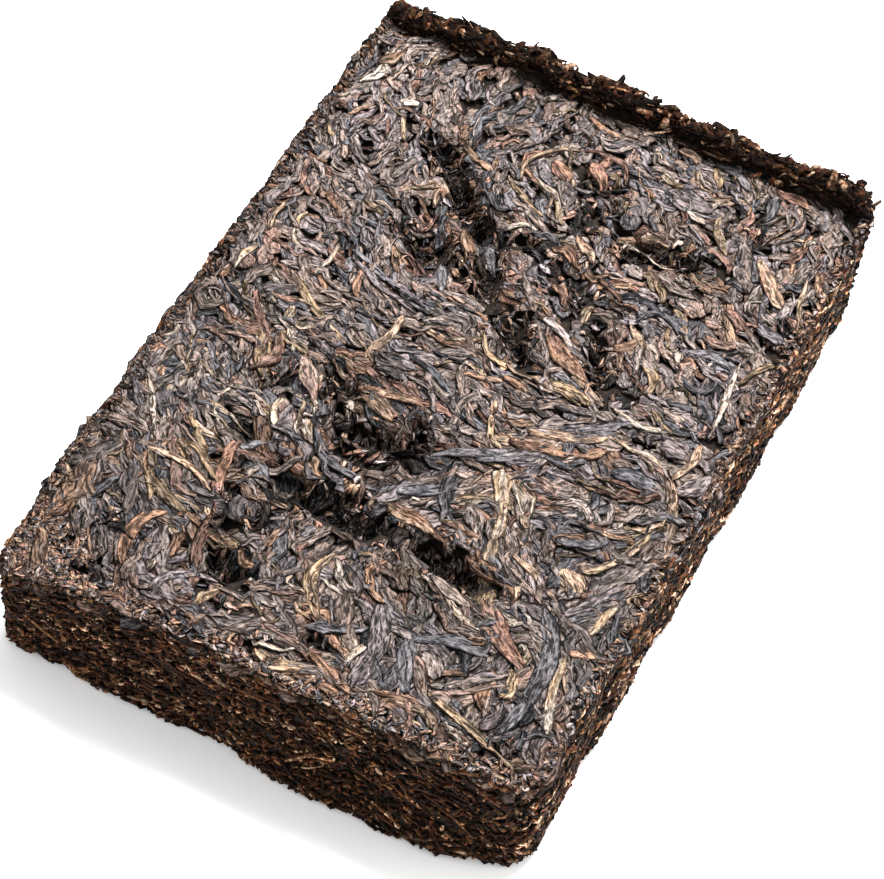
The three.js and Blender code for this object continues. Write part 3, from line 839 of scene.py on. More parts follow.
class Pressed:
    """A map of how high the pressed leaves reach, so that each new leaf lies on those before it."""

    CELL = 0.25

    def __init__(self, ground):
        self.nx, self.ny = int(WIDTH / self.CELL) + 9, int(LENGTH / self.CELL) + 9
        x = (np.arange(self.nx) - self.nx / 2 + 0.5) * self.CELL
        y = (np.arange(self.ny) - self.ny / 2 + 0.5) * self.CELL
        self.height = ground(*np.meshgrid(x, y, indexing="ij"))
        self.claimed = np.zeros((self.nx, self.ny), dtype=bool)

    def cells(self, x, y):
        i = np.clip((x / self.CELL + self.nx / 2).astype(int), 0, self.nx - 1)
        j = np.clip((y / self.CELL + self.ny / 2).astype(int), 0, self.ny - 1)
        return i, j

    def claim(self, flat, width):
        """Marks where leaves lie that are to stay in sight."""
        side = across_way(flat)
        for off in np.linspace(-0.4, 0.4, 9):
            self.claimed[self.cells(*(flat + side * (off * width)[..., None]).reshape(-1, 2).T)] = True

    def lay(self, flat, width, thick, reach):
        """The height of each leaf's path, laid in turn. flat is (leaves, steps, 2); reach is how far
        above the pressed face the top of each leaf may stand."""
        leaves, steps, _ = flat.shape
        heights = np.empty((leaves, steps))
        fine = np.linspace(0, steps - 1, 3 * steps)
        low = np.floor(fine).astype(int).clip(0, steps - 2)
        share = fine - low
        side = across_way(flat)
        face = pressed_face(flat[..., 0], flat[..., 1])
        for k in range(leaves):
            w = width[k][:, None] * 0.3
            under = np.max([self.height[self.cells(*(flat[k] + o * w * side[k]).T)] for o in (-1, 0, 1)], 0)
            eased = np.convolve(np.pad(under, 1, mode="edge"), (0.3, 0.4, 0.3), "valid")
            z = eased + 0.25 * thick[k]
            z = np.minimum(z, face[k] + reach[k] - 0.5 * thick[k])
            heights[k] = z
            p = flat[k][low] * (1 - share)[:, None] + flat[k][low + 1] * share[:, None]
            n = side[k][low]
            top = z[low] * (1 - share) + z[low + 1] * share
            half_w, half_t = width[k][low] / 2, thick[k][low] / 2
            for o in np.linspace(-0.9, 0.9, 5):
                i, j = self.cells(*(p + n * (o * half_w)[:, None]).T)
                np.maximum.at(self.height, (i, j), top + half_t * math.sqrt(1 - 0.6 * o * o))
        return heights


def at_height(flat, z):
    """Paths over the ground with a height for each point."""
    return np.concatenate([flat, z[..., None]], -1)


def facing(path, way):
    """One way up, the same for every point of the paths."""
    return np.broadcast_to(np.array(way, dtype=float), path.shape)


# from which share of the leaves on, and between which tones they are: mostly blue, purple and grey brown,
# then red, then orange and olive, pale, and black ones
LEAF_TONES = [(0, (0.14, 0.52)), (0.66, (0.50, 0.70)), (0.84, (0.68, 0.90)),
              (0.91, (0.90, 1.0)), (0.95, (0.05, 0.18))]


def leaf_tones(rng, count):
    pick, tone = rng.random(count), np.zeros(count)
    for share, tones in LEAF_TONES:
        tone = np.where(pick >= share, rng.uniform(*tones, count), tone)
    return tone


ROLL, TWIST = 0.10, 0.14


def lay_leaves(rng, pressed, leaves, flat, wide, thick, reach, tone, shade, columns=2, fold=None,
               lifts=0.0, crease=1.0):
    """Lays leaves on the top face and adds them to a kind. They wave up and down by lifts, and the more
    creased ones are rolled and twisted more."""
    count, steps, _ = flat.shape
    flat, down, out = over_edge(flat)
    z = pressed.lay(flat, wide, thick, reach)
    s = np.linspace(-1, 1, steps)[None]
    z = z - down + lifts * np.sin(s * rng.uniform(3, 8, (count, 1)) + rng.uniform(0, TURN, (count, 1)))
    up = unit(face_normal(flat[..., 0], flat[..., 1]) + 1.6 * np.tanh(down)[..., None] * out)
    roll = rng.normal(0, ROLL, (count, 1)) + s * rng.normal(0, TWIST, (count, 1))
    roll = roll * (0.5 + 0.5 * np.reshape(crease, (-1, 1)))
    leaves.add(at_height(flat, z), up, wide, thick, roll, tone, shade, columns, fold, crease)


# kind, how many, lengths, widths, thicknesses, steps, columns, looseness, bend, from and to reach: how
# far above the pressed face the first and the last leaf of the round may stand
FACE_ROUNDS = [
    ("patches", 600, (4, 7.5), (3.6, 5.6), (0.25, 0.35), 5, 5, 0.6, 0.8, -0.42, -0.25),
    ("patches", 360, (4, 9), (2.4, 4.4), (0.25, 0.35), 6, 5, 0.35, 0.7, -0.24, -0.12),
    ("strips", 560, (5, 13), (1.3, 2.4), (0.3, 0.4), 8, 4, 0.30, 0.7, -0.16, -0.02),
    ("patches", 420, (4, 8), (2.2, 3.8), (0.25, 0.35), 6, 5, 0.45, 0.8, -0.08, 0.02),
    ("strips", 980, (5, 14), (1.3, 2.7), (0.3, 0.4), 8, 4, 0.35, 0.8, -0.02, 0.10),
]
LAST_ROUNDS = [
    ("shreds", 800, (2.5, 7.0), (0.7, 1.5), (0.25, 0.4), 6, 3, 0.5, 0.9, 0.06, 0.16),
    ("threads", 460, (3, 10), (0.3, 0.7), (0.3, 0.4), 7, 2, 0.35, 0.8, 0.12, 0.22),
]

FRONT_STRIP = 9.0
BROAD_INSIDE, NARROW_INSIDE = 2.4, 0.8
FAR_FROM, FAR_OVER = -5.0, 30.0
# how bright the leaves are painted from the front to the far end: a painted fall-off of light
FRONT_PAINTED_LIGHT, MIDDLE_PAINTED_LIGHTER, FAR_PAINTED_LIGHTER = 0.85, 0.10, 0.09
PAINTED_LIGHTER_FROM, PAINTED_LIGHTER_OVER = -40.0, 30.0
FLAT_BRIGHT, CREASED_BRIGHTER = 0.665, 0.11
SIZE_AT_FRONT, SIZE_LOSS, SIZE_FALLS_FROM, SIZE_FALLS_OVER = 1.12, 0.34, -25.0, 45.0
BARE_SHARE, BARE_SHARE_FAR = 0.28, 0.12
FILLS_PITS_BELOW, FILLS_BARE_BELOW = -0.4, -0.1
# how much darker leaves are painted in the pits, along the front strip, on the hollows' flanks, on the worn
# corner and towards the long sides; in the pits, on the flanks and towards the sides this is painted shade
PIT_PAINTED_SHADE, FRONT_DARK, FLANK_PAINTED_SHADE, WORN_DARK, SIDES_PAINTED_SHADE = 0.92, 0.3, 0.25, 0.2, 0.12
PALE_THREADS = 0.4
# how much brighter or darker a leaf is, how creased, how deep its folds are and how far it lifts
FACE_SHADE, FACE_CREASE, FACE_FOLD = (0.7, 1.26), (0.8, 1.0), (0.04, 0.14)
FAR_SMOOTHER, FACE_LIFTS, FAR_FLATTER = 0.5, 0.07, 0.03
# how far in a pit, on the worn corner and over a leaf that stands out a leaf may be, drawn for each
PIT_ALLOWED, WORN_ALLOWED, COVER_ALLOWED = (0.05, 0.55), (0.1, 0.5), (0, 0.22)
PALE_TONES, RUSTY_TONES = (0.78, 1.0), (0.5, 0.82)


def some(rng, share, drawn, others):
    """The values others, with a share of them drawn anew between two bounds."""
    return np.where(rng.random(len(others)) < share, rng.uniform(*drawn, len(others)), others)


def far_share(y):
    """From 0 on the front half of the face to 1 near its far end."""
    return smooth((y - FAR_FROM) / FAR_OVER)


def find_room(rng, pressed, name, middle, flat, lowest):
    """Which leaves of a round are laid: few in pits, in bare patches and over the leaves that are to stay
    in sight, and no broad ones on the worn corner."""
    count = len(flat)
    pit = pit_share(flat[..., 0], flat[..., 1]).max(1)
    room = (pit < rng.uniform(*PIT_ALLOWED, count)) | (lowest < FILLS_PITS_BELOW)
    x, y = middle.T
    dressed = noise(x / 4.5, y / 4.5, 97) > BARE_SHARE + BARE_SHARE_FAR * far_share(y)
    room &= dressed | (lowest < FILLS_BARE_BELOW) | (name == "patches")
    covered = pressed.claimed[pressed.cells(flat[..., 0], flat[..., 1])].mean(1)
    room &= covered < rng.uniform(*COVER_ALLOWED, count)
    worn = corner_wear(x, y) / WORN_DEPTH
    return room & ((worn < rng.uniform(*WORN_ALLOWED, count)) | (name != "patches"))


def face_tones(rng, name, x, y, rust):
    """The leaves' tones, alike where they lie together and rusty by the share rust."""
    tone = leaf_tones(rng, len(x)) + 0.2 * (noise(x / 5 + 3, y / 5, 81) - 0.5)
    if name == "patches":
        tone = np.clip(tone, 0.1, 0.56)
    if name == "threads":
        tone = some(rng, PALE_THREADS, PALE_TONES, tone)
    return some(rng, rust, RUSTY_TONES, tone)


def face_leaves(rng, pressed, kinds, rounds):
    """Rounds of leaves over the whole top face. Each leaf lies on those before it. They are larger near the
    front and smoother at the far end. They are painted darker in the pits and on the hollows' flanks, as
    shade, and with a painted fall-off of light, darker towards the front and the long sides; they are also
    darker along the front strip and on the worn corner."""
    for name, count, lengths, widths, thicks, steps, columns, loose, bend, first, last in rounds:
        broad = name == "patches"
        inside = BROAD_INSIDE if broad else NARROW_INSIDE
        low, high = (-HALF_WIDTH + inside, -HALF_LENGTH + inside), (HALF_WIDTH - inside, BACK_END)
        middle = spread(rng, count, low, high)
        size = SIZE_AT_FRONT - SIZE_LOSS * smooth((middle[:, 1] - SIZE_FALLS_FROM) / SIZE_FALLS_OVER)
        flat = traced(rng, middle, rng.uniform(*lengths, count) * size, loose, bend, steps)
        room = find_room(rng, pressed, name, middle, flat, first)
        middle, flat, size = middle[room], flat[room], size[room]

        count, far = len(flat), far_share(middle[:, 1])
        wide = (rng.uniform(*widths, count) * size)[:, None] * form(rng, count, steps)
        thick = rng.uniform(*thicks, (count, 1)) * np.ones((1, steps))
        start_x, start_y = flat[:, 0].T
        reach = np.linspace(first, last, count) + 0.1 * (noise(start_x / 4, start_y / 4, 61) - 0.5)

        x, y = flat[:, steps // 2].T
        near = hollow_share(flat[..., 0], flat[..., 1])[1].max(1)
        pit = pit_share(flat[..., 0], flat[..., 1]).max(1)
        worn = corner_wear(*middle.T) / WORN_DEPTH
        front = smooth((FRONT_STRIP - HALF_LENGTH - y) / FRONT_STRIP)
        rust = np.max([0.6 * front, 1.5 * worn, 0.6 * smooth(near / 0.6)], 0)
        tone = face_tones(rng, name, x, y, rust)
        shade = rng.uniform(*FACE_SHADE, count) * (0.65 + 0.7 * noise(x / 4, y / 4 + 8, 83))
        # painted shade in the pits and on the hollows' flanks; darker also along the front strip and on the
        # worn corner
        for share, dark in ((near, FLANK_PAINTED_SHADE), (pit, PIT_PAINTED_SHADE), (front, FRONT_DARK), (worn, WORN_DARK)):
            shade = shade * (1 - dark * share)
        crease = rng.uniform(*FACE_CREASE, count) * (1 - FAR_SMOOTHER * broad * far)
        # a painted fall-off of light: darker towards the front, lighter in the middle and at the far end
        bright = FRONT_PAINTED_LIGHT + MIDDLE_PAINTED_LIGHTER * smooth((y - PAINTED_LIGHTER_FROM) / PAINTED_LIGHTER_OVER)
        shade = shade * (FLAT_BRIGHT + CREASED_BRIGHTER * crease) * (bright + FAR_PAINTED_LIGHTER * far)
        # painted shade towards the long sides
        shade = shade * (1 - SIDES_PAINTED_SHADE * (x / HALF_WIDTH) ** 2)

        number = np.minimum(wide.mean(1) / 1.3, (columns - 1) / 3.2)
        fold = (rng.uniform(*FACE_FOLD, count), number, rng.uniform(0, TURN, count))
        lifts = FACE_LIFTS - FAR_FLATTER * broad * far[:, None]
        lay_leaves(rng, pressed, kinds[name], flat, wide, thick, reach, tone, shade, columns,
                   fold if columns > 3 else None, lifts, crease)


# lengths and widths of the crumbs in the gaps, in the pits and along the edges
GAP_SIZES, PIT_SIZES = ((1.2, 3.2), (0.5, 1.1)), ((1.2, 3.6), (0.6, 1.5))
EDGE_SIZES = (0.9, 2.4), (0.5, 1.1)
WARM_TONES, COOL_TONES = (0.6, 0.82), (0.05, 0.6)


def lay_crumbs(rng, pressed, leaves, middle, sizes, warm, shade, reach):
    """Crumbs and short ends of leaves at the given places, of which the share warm is orange brown."""
    count, steps, (lengths, widths) = len(middle), 4, sizes
    flat = bent(rng, middle, rng.uniform(0, TURN, count), rng.uniform(*lengths, count),
                rng.normal(0, 0.9, count), steps)
    wide = rng.uniform(*widths, (count, 1)) * form(rng, count, steps, 0.45)
    thick = wide * rng.uniform(0.35, 0.7, (count, 1))
    tone = np.where(rng.random(count) < warm, rng.uniform(*WARM_TONES, count),
                    rng.uniform(*COOL_TONES, count))
    lay_leaves(rng, pressed, leaves, flat, wide, thick, np.full(count, reach), tone, shade)


def gap_crumbs(rng, pressed, leaves, count):
    """Crumbs under the leaves, seen in the gaps between them."""
    middle = spread(rng, count, (-HALF_WIDTH + 1, -HALF_LENGTH + 1), (HALF_WIDTH - 1, BACK_END))
    near = pit_share(*middle.T)
    # painted shade: darker in the pits
    shade = rng.uniform(0.35, 0.95, count) * (1 - 0.7 * near)
    lay_crumbs(rng, pressed, leaves, middle, GAP_SIZES, 0.25 + 0.3 * near, shade, -0.5)


def pit_crumbs(rng, pressed, leaves, count):
    """Crumbs in and round the pits, painted nearly black in the middle as shade, and orange brown on the
    sides.
    """
    spans = np.hypot(PITS[:, 2] - PITS[:, 0], PITS[:, 3] - PITS[:, 1]) + PITS[:, 4]
    which = rng.choice(len(PITS), count, p=spans / spans.sum())
    x0, y0, x1, y1, width = PITS[which].T
    reach = width / 2 / np.hypot(x1 - x0, y1 - y0)
    share = rng.uniform(-reach, 1 + reach)
    off = rng.normal(0, 0.45, count) * width
    away = unit(np.stack([y0 - y1, x1 - x0], -1))
    middle = np.stack([x0 + share * (x1 - x0), y0 + share * (y1 - y0)], -1) + off[:, None] * away
    # painted shade, darkest in the middle of the pits
    shade = rng.uniform(0.5, 1.6, count) * (1 - PIT_PAINTED_SHADE * pit_share(*middle.T))
    shade = some(rng, 0.14, (0.7, 1.6), shade)
    lay_crumbs(rng, pressed, leaves, middle, PIT_SIZES, 0.5, shade, 0.15)


def edge_crumbs(rng, pressed, leaves, side, count, band, bright):
    """Crumbs along an edge of the top face, in a band that thins out away from the edge."""
    t = rng.uniform(-0.97, 0.97, count)
    off = 0.4 + band * rng.random(count) ** 1.6
    u, v = wall_uv(np.full(count, side), t)
    x, y = u * (HALF_WIDTH - off * (np.abs(u) == 1)), v * (HALF_LENGTH - off * (np.abs(v) == 1))
    shade = bright * rng.uniform(0.3, 1.2, count)
    lay_crumbs(rng, pressed, leaves, np.stack([x, y], -1), EDGE_SIZES, 0.55, shade, 0.0)


def corner_crumbs(rng, pressed, leaves, count):
    """Crumbs over the worn corner."""
    turn, far = rng.uniform(0, np.pi / 2, count), 0.6 * WORN_REACH * np.sqrt(rng.random(count))
    middle = np.stack([1 - HALF_WIDTH + far * np.cos(turn), 1 - HALF_LENGTH + far * np.sin(turn)], -1)
    lay_crumbs(rng, pressed, leaves, middle, EDGE_SIZES, 0.6, rng.uniform(0.4, 1.5, count), 0.0)


# each leaf that stands out: tone, width at the start, middle and end, and x and y of three points on
# its way
FEATURED = [row.split() for row in """
olive 2.4 3.4 3.6  19.2 -27.8  21.2 -34.0  23.0 -40.2
red 3.2 3.6 2.2  22.6 -39.0  27.6 -44.2  33.8 -49.0
gold 1.4 2.4 1.8  32.0 -49.4  33.6 -52.4  33.0 -55.6
tan 1.6 2.2 1.4  14.2 -5.0  20.6 -3.6  26.4 -0.2
orange 2.2 3.4 2.6  12.8 -9.0  20.4 -6.6  27.2 -2.6
slate 1.6 2.2 1.6  10.0 -15.2  14.6 -12.0  19.2 -8.8
gold 0.9 1.4 0.9  8.4 -5.6  9.8 -9.2  12.4 -11.4
pale 0.8 1.2 0.9  26.0 -0.2  31.6 -0.2  36.4 -1.6
tan 1.4 2.2 1.4  37.4 -2.8  40.8 -7.6  43.4 -17.2
tan 1.2 1.8 1.2  39.4 7.0  39.8 2.4  38.6 -2.8
purple 2.6 4.0 2.6  33.8 3.4  36.2 3.0  38.4 2.8
slate 2.4 3.6 2.4  29.6 -6.4  33.0 -5.6  36.4 -5.2
purple 2.4 3.4 2.0  39.8 -4.4  42.0 -2.4  43.6 1.0
grey 1.6 2.6 1.6  24.6 -16.6  28.4 -15.2  30.6 -17.6
red 1.0 1.5 1.0  19.0 -15.8  21.6 -15.0  24.4 -15.6
slate 1.8 2.8 1.8  28.6 -23.6  31.6 -21.8  35.0 -19.6
tan 1.4 2.0 1.4  33.6 -27.0  37.4 -22.4  39.8 -14.6
grey 1.2 1.8 1.2  38.6 -28.4  41.4 -22.2  43.6 -18.4
tan 2.8 4.4 3.0  31.0 -28.0  33.0 -29.6  35.0 -31.4
tan 0.9 1.4 0.9  22.6 -29.4  27.4 -31.0  32.7 -34.2
brown 0.9 1.3 0.9  22.4 -31.4  26.4 -33.0  31.0 -36.2
pale 1.2 1.9 1.4  41.2 -30.2  40.2 -34.7  39.0 -38.4
purple 1.4 2.0 1.4  34.8 -36.6  37.6 -31.8  40.6 -26.4
orange 1.6 2.4 1.6  22.6 -48.4  24.6 -47.6  26.4 -47.0
grey 2.2 3.4 2.4  19.4 -53.2  21.2 -54.6  23.0 -57.4
orange 1.2 2.0 1.2  38.8 -42.4  40.4 -42.0  42.4 -41.2
gold 1.0 1.5 1.0  23.0 -60.2  30.0 -62.6  41.4 -66.4
pale 0.8 1.2 0.8  34.0 -68.4  38.0 -68.2  42.0 -67.4
brown 1.8 3.0 2.0  24.0 -60.8  26.8 -59.4  30.0 -57.8
tan 1.0 1.6 1.0  10.8 -29.0  14.0 -28.6  17.4 -29.2
brown 1.8 2.6 1.8  13.4 -39.4  17.6 -40.6  21.6 -42.2
tan 1.6 3.0 2.2  31.8 49.2  35.0 45.0  39.4 40.4
olive 1.0 1.6 1.0  17.6 64.0  18.8 62.4  20.0 60.6
gold 1.4 2.2 1.4  10.4 58.4  12.4 57.4  14.6 57.6
pale 1.2 2.0 1.2  6.6 61.8  8.0 61.2  9.0 59.6
tan 1.6 2.4 1.4  10.6 65.2  12.6 64.8  15.0 64.0
purple 3.0 5.0 3.0  13.6 55.2  17.0 54.6  21.0 54.6
pale 0.9 1.5 0.9  17.2 52.2  19.2 51.8  21.4 51.2
tan 1.2 1.8 1.2  9.2 41.4  12.6 43.9  17.8 44.2
pale 0.9 1.4 0.9  12.0 40.6  15.9 40.0  20.6 38.9
tan 1.6 2.6 1.6  17.0 36.4  18.6 34.8  20.4 32.8
gold 1.0 1.6 1.0  19.4 34.2  20.8 33.2  21.8 31.6
tan 1.0 1.6 1.0  19.3 24.4  21.4 22.4  23.8 20.0
pale 1.0 1.8 1.0  28.2 22.8  28.8 22.0  29.6 21.2
pale 0.6 0.9 0.6  25.2 26.4  25.8 24.6  26.6 22.6
red 1.6 2.6 1.6  30.6 28.8  33.6 28.2  36.4 28.8
red 1.4 2.2 1.4  31.6 35.4  33.6 34.2  35.8 33.0
red 1.6 2.8 1.6  28.4 65.0  31.8 64.6  35.0 63.4
slate 2.0 3.2 2.0  37.4 34.8  40.0 34.0  42.4 33.6
tan 0.7 1.1 0.8  40.6 48.3  42.0 42.0  44.2 35.6
orange 1.2 2.0 1.2  41.6 51.0  42.8 48.6  43.6 46.0
slate 1.2 1.8 1.2  31.6 17.6  34.6 16.8  36.4 20.6
pale 0.9 1.3 0.9  23.8 6.5  29.6 4.9  34.2 6.0
tan 1.2 2.0 1.2  3.8 37.6  6.2 35.6  8.8 33.2
orange 1.6 2.4 1.6  1.4 33.0  3.6 33.4  6.0 31.8
orange 1.6 2.4 1.4  5.0 26.0  6.6 24.8  8.4 22.6
red 0.8 1.3 0.9  -1.0 50.8  2.2 56.6  6.0 53.0
orange 1.2 2.0 1.2  -6.0 64.2  -3.0 62.8  0.6 62.0
tan 1.4 2.4 1.4  -41.5 55.3  -40.4 57.4  -39.2 59.4
tan 1.0 1.5 1.0  -40.6 18.8  -40.7 15.3  -40.2 11.6
pale 0.9 1.4 0.9  -40.2 8.3  -40.8 5.0  -41.3 1.7
pale 0.7 1.1 0.7  -36.6 14.6  -35.4 12.2  -33.4 11.2
tan 0.8 1.2 0.8  -32.2 46.1  -31.2 44.0  -29.8 41.6
olive 0.9 1.4 0.9  -25.6 32.4  -22.8 33.8  -20.0 35.6
pale 0.7 1.0 0.7  -21.4 38.0  -18.0 35.4  -15.0 32.8
tan 1.1 1.6 1.1  -21.2 46.6  -17.6 44.8  -13.8 42.8
pale 0.9 1.4 0.9  -11.6 44.1  -8.0 41.2  -2.8 38.5
pale 0.8 1.2 0.8  -7.0 33.6  -4.6 35.2  -2.0 35.6
orange 2.2 3.0 1.8  -12.4 28.8  -11.0 26.6  -9.6 25.0
slate 1.4 2.0 1.4  -17.4 31.0  -16.4 28.0  -15.6 25.4
gold 1.2 1.7 1.1  -32.6 5.6  -26.9 1.2  -18.3 -3.7
pale 0.9 1.5 0.9  -28.4 -3.4  -26.2 -3.8  -24.0 -3.0
pale 0.9 1.3 0.9  -0.4 10.0  2.4 6.0  7.4 5.4
pale 0.7 1.1 0.7  -4.4 5.2  -2.0 6.8  0.6 8.0
pale 1.4 2.2 1.4  -34.4 49.6  -33.0 49.8  -31.6 50.4
slate 1.6 1.9 1.4  17.5 -9.6  7.0 -14.9  -5.0 -20.8
orange 1.8 2.2 2.0  -26.4 -49.4  -29.6 -55.0  -27.4 -62.0
red 2.2 2.8 2.0  -21.2 -43.0  -20.0 -50.0  -18.0 -56.6
red 1.4 2.2 1.8  -23.4 -30.3  -23.4 -36.6  -21.4 -42.6
gold 1.6 2.6 1.6  -18.2 -47.6  -16.4 -48.4  -14.2 -49.4
orange 1.2 2.0 1.2  -13.8 -49.8  -12.2 -51.2  -10.4 -52.2
pale 1.8 2.6 1.6  -22.4 -9.4  -21.4 -12.0  -20.6 -15.0
pale 1.0 1.5 1.0  -21.9 -19.4  -21.6 -22.6  -20.1 -25.7
tan 1.6 2.8 1.6  -11.6 -11.6  -8.4 -13.0  -4.8 -14.4
slate 1.4 2.0 1.4  -14.8 -20.7  -11.0 -26.0  -1.4 -28.1
grey 1.0 1.4 1.0  -19.6 -37.0  -17.6 -32.4  -13.6 -28.2
slate 0.8 1.2 0.8  -23.0 -33.6  -21.0 -29.6  -17.0 -26.4
tan 1.8 3.0 2.0  2.0 -30.0  6.0 -30.6  10.4 -31.4
pale 0.8 1.2 0.8  -5.1 -63.6  -0.4 -64.0  4.4 -60.2
slate 1.4 2.2 1.4  1.4 -57.8  5.4 -56.6  9.8 -53.4
gold 1.8 3.0 2.0  -2.8 -66.2  0.8 -66.6  4.6 -65.4
pale 0.9 1.5 0.9  11.0 -55.2  10.6 -58.6  9.6 -62.0
orange 1.2 1.8 1.4  7.6 -66.6  10.6 -67.2  13.8 -67.6
purple 1.4 1.8 1.4  -13.6 -57.2  -20.3 -60.0  -20.5 -66.0
pale 1.2 1.8 1.2  -12.8 -58.6  -14.0 -61.0  -14.6 -63.4
olive 1.6 2.2 1.8  -0.7 -43.5  -1.4 -50.0  2.8 -56.2
purple 2.0 3.8 3.2  9.3 -47.2  12.4 -55.5  12.8 -65.0
slate 1.8 3.0 2.2  16.2 -52.2  21.6 -49.4  28.2 -49.2
slate 2.0 2.6 2.0  16.2 -52.6  18.1 -58.0  20.7 -61.8
grey 1.2 1.8 1.2  22.6 -58.6  27.6 -55.2  32.4 -51.0
brown 1.0 1.4 0.8  23.6 -60.0  28.6 -56.6  33.2 -52.6
slate 2.2 3.4 2.4  32.0 -36.4  36.6 -47.5  35.8 -62.0
pale 1.2 1.9 1.6  38.1 -43.1  39.3 -50.0  41.8 -58.0
orange 1.6 2.2 1.4  4.6 -62.5  9.0 -64.0  13.0 -66.4
orange 1.2 1.8 1.2  15.8 -64.2  20.0 -63.0  24.0 -62.2
red 1.6 2.2 1.6  -6.2 -65.0  -5.6 -67.0  -5.0 -69.0
pale 0.7 1.1 0.7  -3.0 -68.6  3.0 -68.8  9.6 -69.2
pale 0.7 1.1 0.7  -41.9 -26.1  -38.4 -31.4  -35.1 -37.4
gold 0.9 1.4 0.9  -36.2 -42.4  -32.3 -44.6  -30.0 -49.0
pale 0.7 1.3 0.9  -31.3 -35.3  -26.6 -37.2  -22.5 -40.4
tan 0.9 1.5 1.0  -35.0 -40.0  -29.0 -39.6  -22.8 -42.2
gold 0.8 1.2 0.8  -34.0 -46.6  -28.0 -45.6  -22.0 -46.0
pale 0.6 0.9 0.6  -32.0 -26.4  -28.0 -26.8  -24.6 -28.2
pale 0.6 0.8 0.6  -31.6 -28.2  -28.0 -28.8  -25.0 -29.8
red 1.8 2.6 1.6  -28.2 -7.4  -26.9 -11.9  -29.0 -16.4
brown 1.6 3.0 2.0  -23.4 -9.2  -19.8 -13.8  -16.4 -18.6
tan 1.4 2.0 1.6  -12.8 6.2  -13.4 0.6  -14.4 -5.2
pale 1.2 1.8 1.2  -14.4 -12.2  -12.8 -14.4  -11.0 -16.4
orange 1.2 1.8 1.2  -13.2 -10.4  -6.4 -10.2  -0.9 -8.2
slate 1.0 1.5 1.0  -8.6 -0.4  -3.4 -2.6  1.4 -5.2
pale 0.8 1.2 0.8  25.1 -32.2  26.4 -34.4  27.0 -37.0
pale 0.8 1.2 0.8  17.4 -42.3  21.2 -44.2  24.8 -45.6
slate 2.0 3.0 1.8  2.0 -27.4  5.6 -24.6  10.2 -22.2
pale 0.8 1.2 0.8  38.0 26.0  39.1 18.0  39.9 9.0
gold 1.0 1.5 1.0  43.4 28.8  41.2 25.8  39.8 21.6
orange 2.4 3.6 2.0  9.2 14.7  13.4 11.6  18.4 9.0
olive 1.6 2.6 1.6  13.6 5.2  17.0 5.6  20.6 5.0
olive 1.4 2.0 1.2  12.4 25.4  12.0 23.0  12.4 20.6
olive 1.0 1.7 1.1  22.6 54.2  23.8 50.4  27.0 46.6
red 1.2 1.8 1.2  1.3 56.6  1.0 54.0  -0.3 51.2
pale 0.6 0.9 0.6  -5.6 55.4  -3.2 50.6  -0.5 46.0
tan 0.7 1.0 0.8  -9.4 43.5  -9.4 50.5  -3.4 55.4
red 0.8 1.3 0.8  -3.2 55.8  0.4 56.8  4.2 55.8
red 2.2 3.4 2.2  -6.8 50.8  -4.6 49.6  -2.4 47.6
red 1.8 3.0 1.8  -1.0 54.0  1.0 52.6  3.0 50.4
slate 0.9 1.3 0.9  19.7 25.4  23.2 28.4  27.1 26.0
red 0.9 1.2 0.9  -38.6 10.6  -35.6 9.8  -32.3 9.9
pale 0.7 1.0 0.7  -28.8 15.4  -28.8 11.0  -29.3 7.2
slate 1.6 2.5 1.4  -13.4 21.0  -11.8 18.0  -10.2 14.8
slate 1.4 2.0 1.2  -9.1 32.5  -7.6 28.4  -4.6 24.9
olive 1.4 2.1 1.2  -29.8 26.0  -28.0 25.4  -25.6 24.6
purple 2.0 3.2 2.0  -26.2 61.0  -25.0 59.0  -24.6 56.4
slate 0.9 1.3 0.9  -26.4 15.4  -19.0 12.4  -10.7 9.8
purple 0.9 1.3 0.9  -26.0 13.6  -19.0 10.6  -11.5 8.0
gold 4.4 2.4 2.4  14.6 -14.4  17.4 -21.4  19.4 -28.4
""".strip().split("\n")]
FEATURED_STEPS, FEATURED_FINE, FEATURED_INSIDE = 12, 5, 1.0
FEATURED_SHADE, FEATURED_CREASE = (0.72, 0.98), (0.7, 1.0)
FEATURED_FOLD, FEATURED_REACH = (0.08, 0.18), (0.15, 0.27)
FEATURED_LIFTS = 0.06


def arcs_through(points, s):
    """Curves that start at the first of three points, pass the second half way and end at the third."""
    first, middle, last = (points[:, None, k] for k in range(3))
    control = 2 * middle - (first + last) / 2
    return (1 - s) ** 2 * first + 2 * s * (1 - s) * control + s * s * last


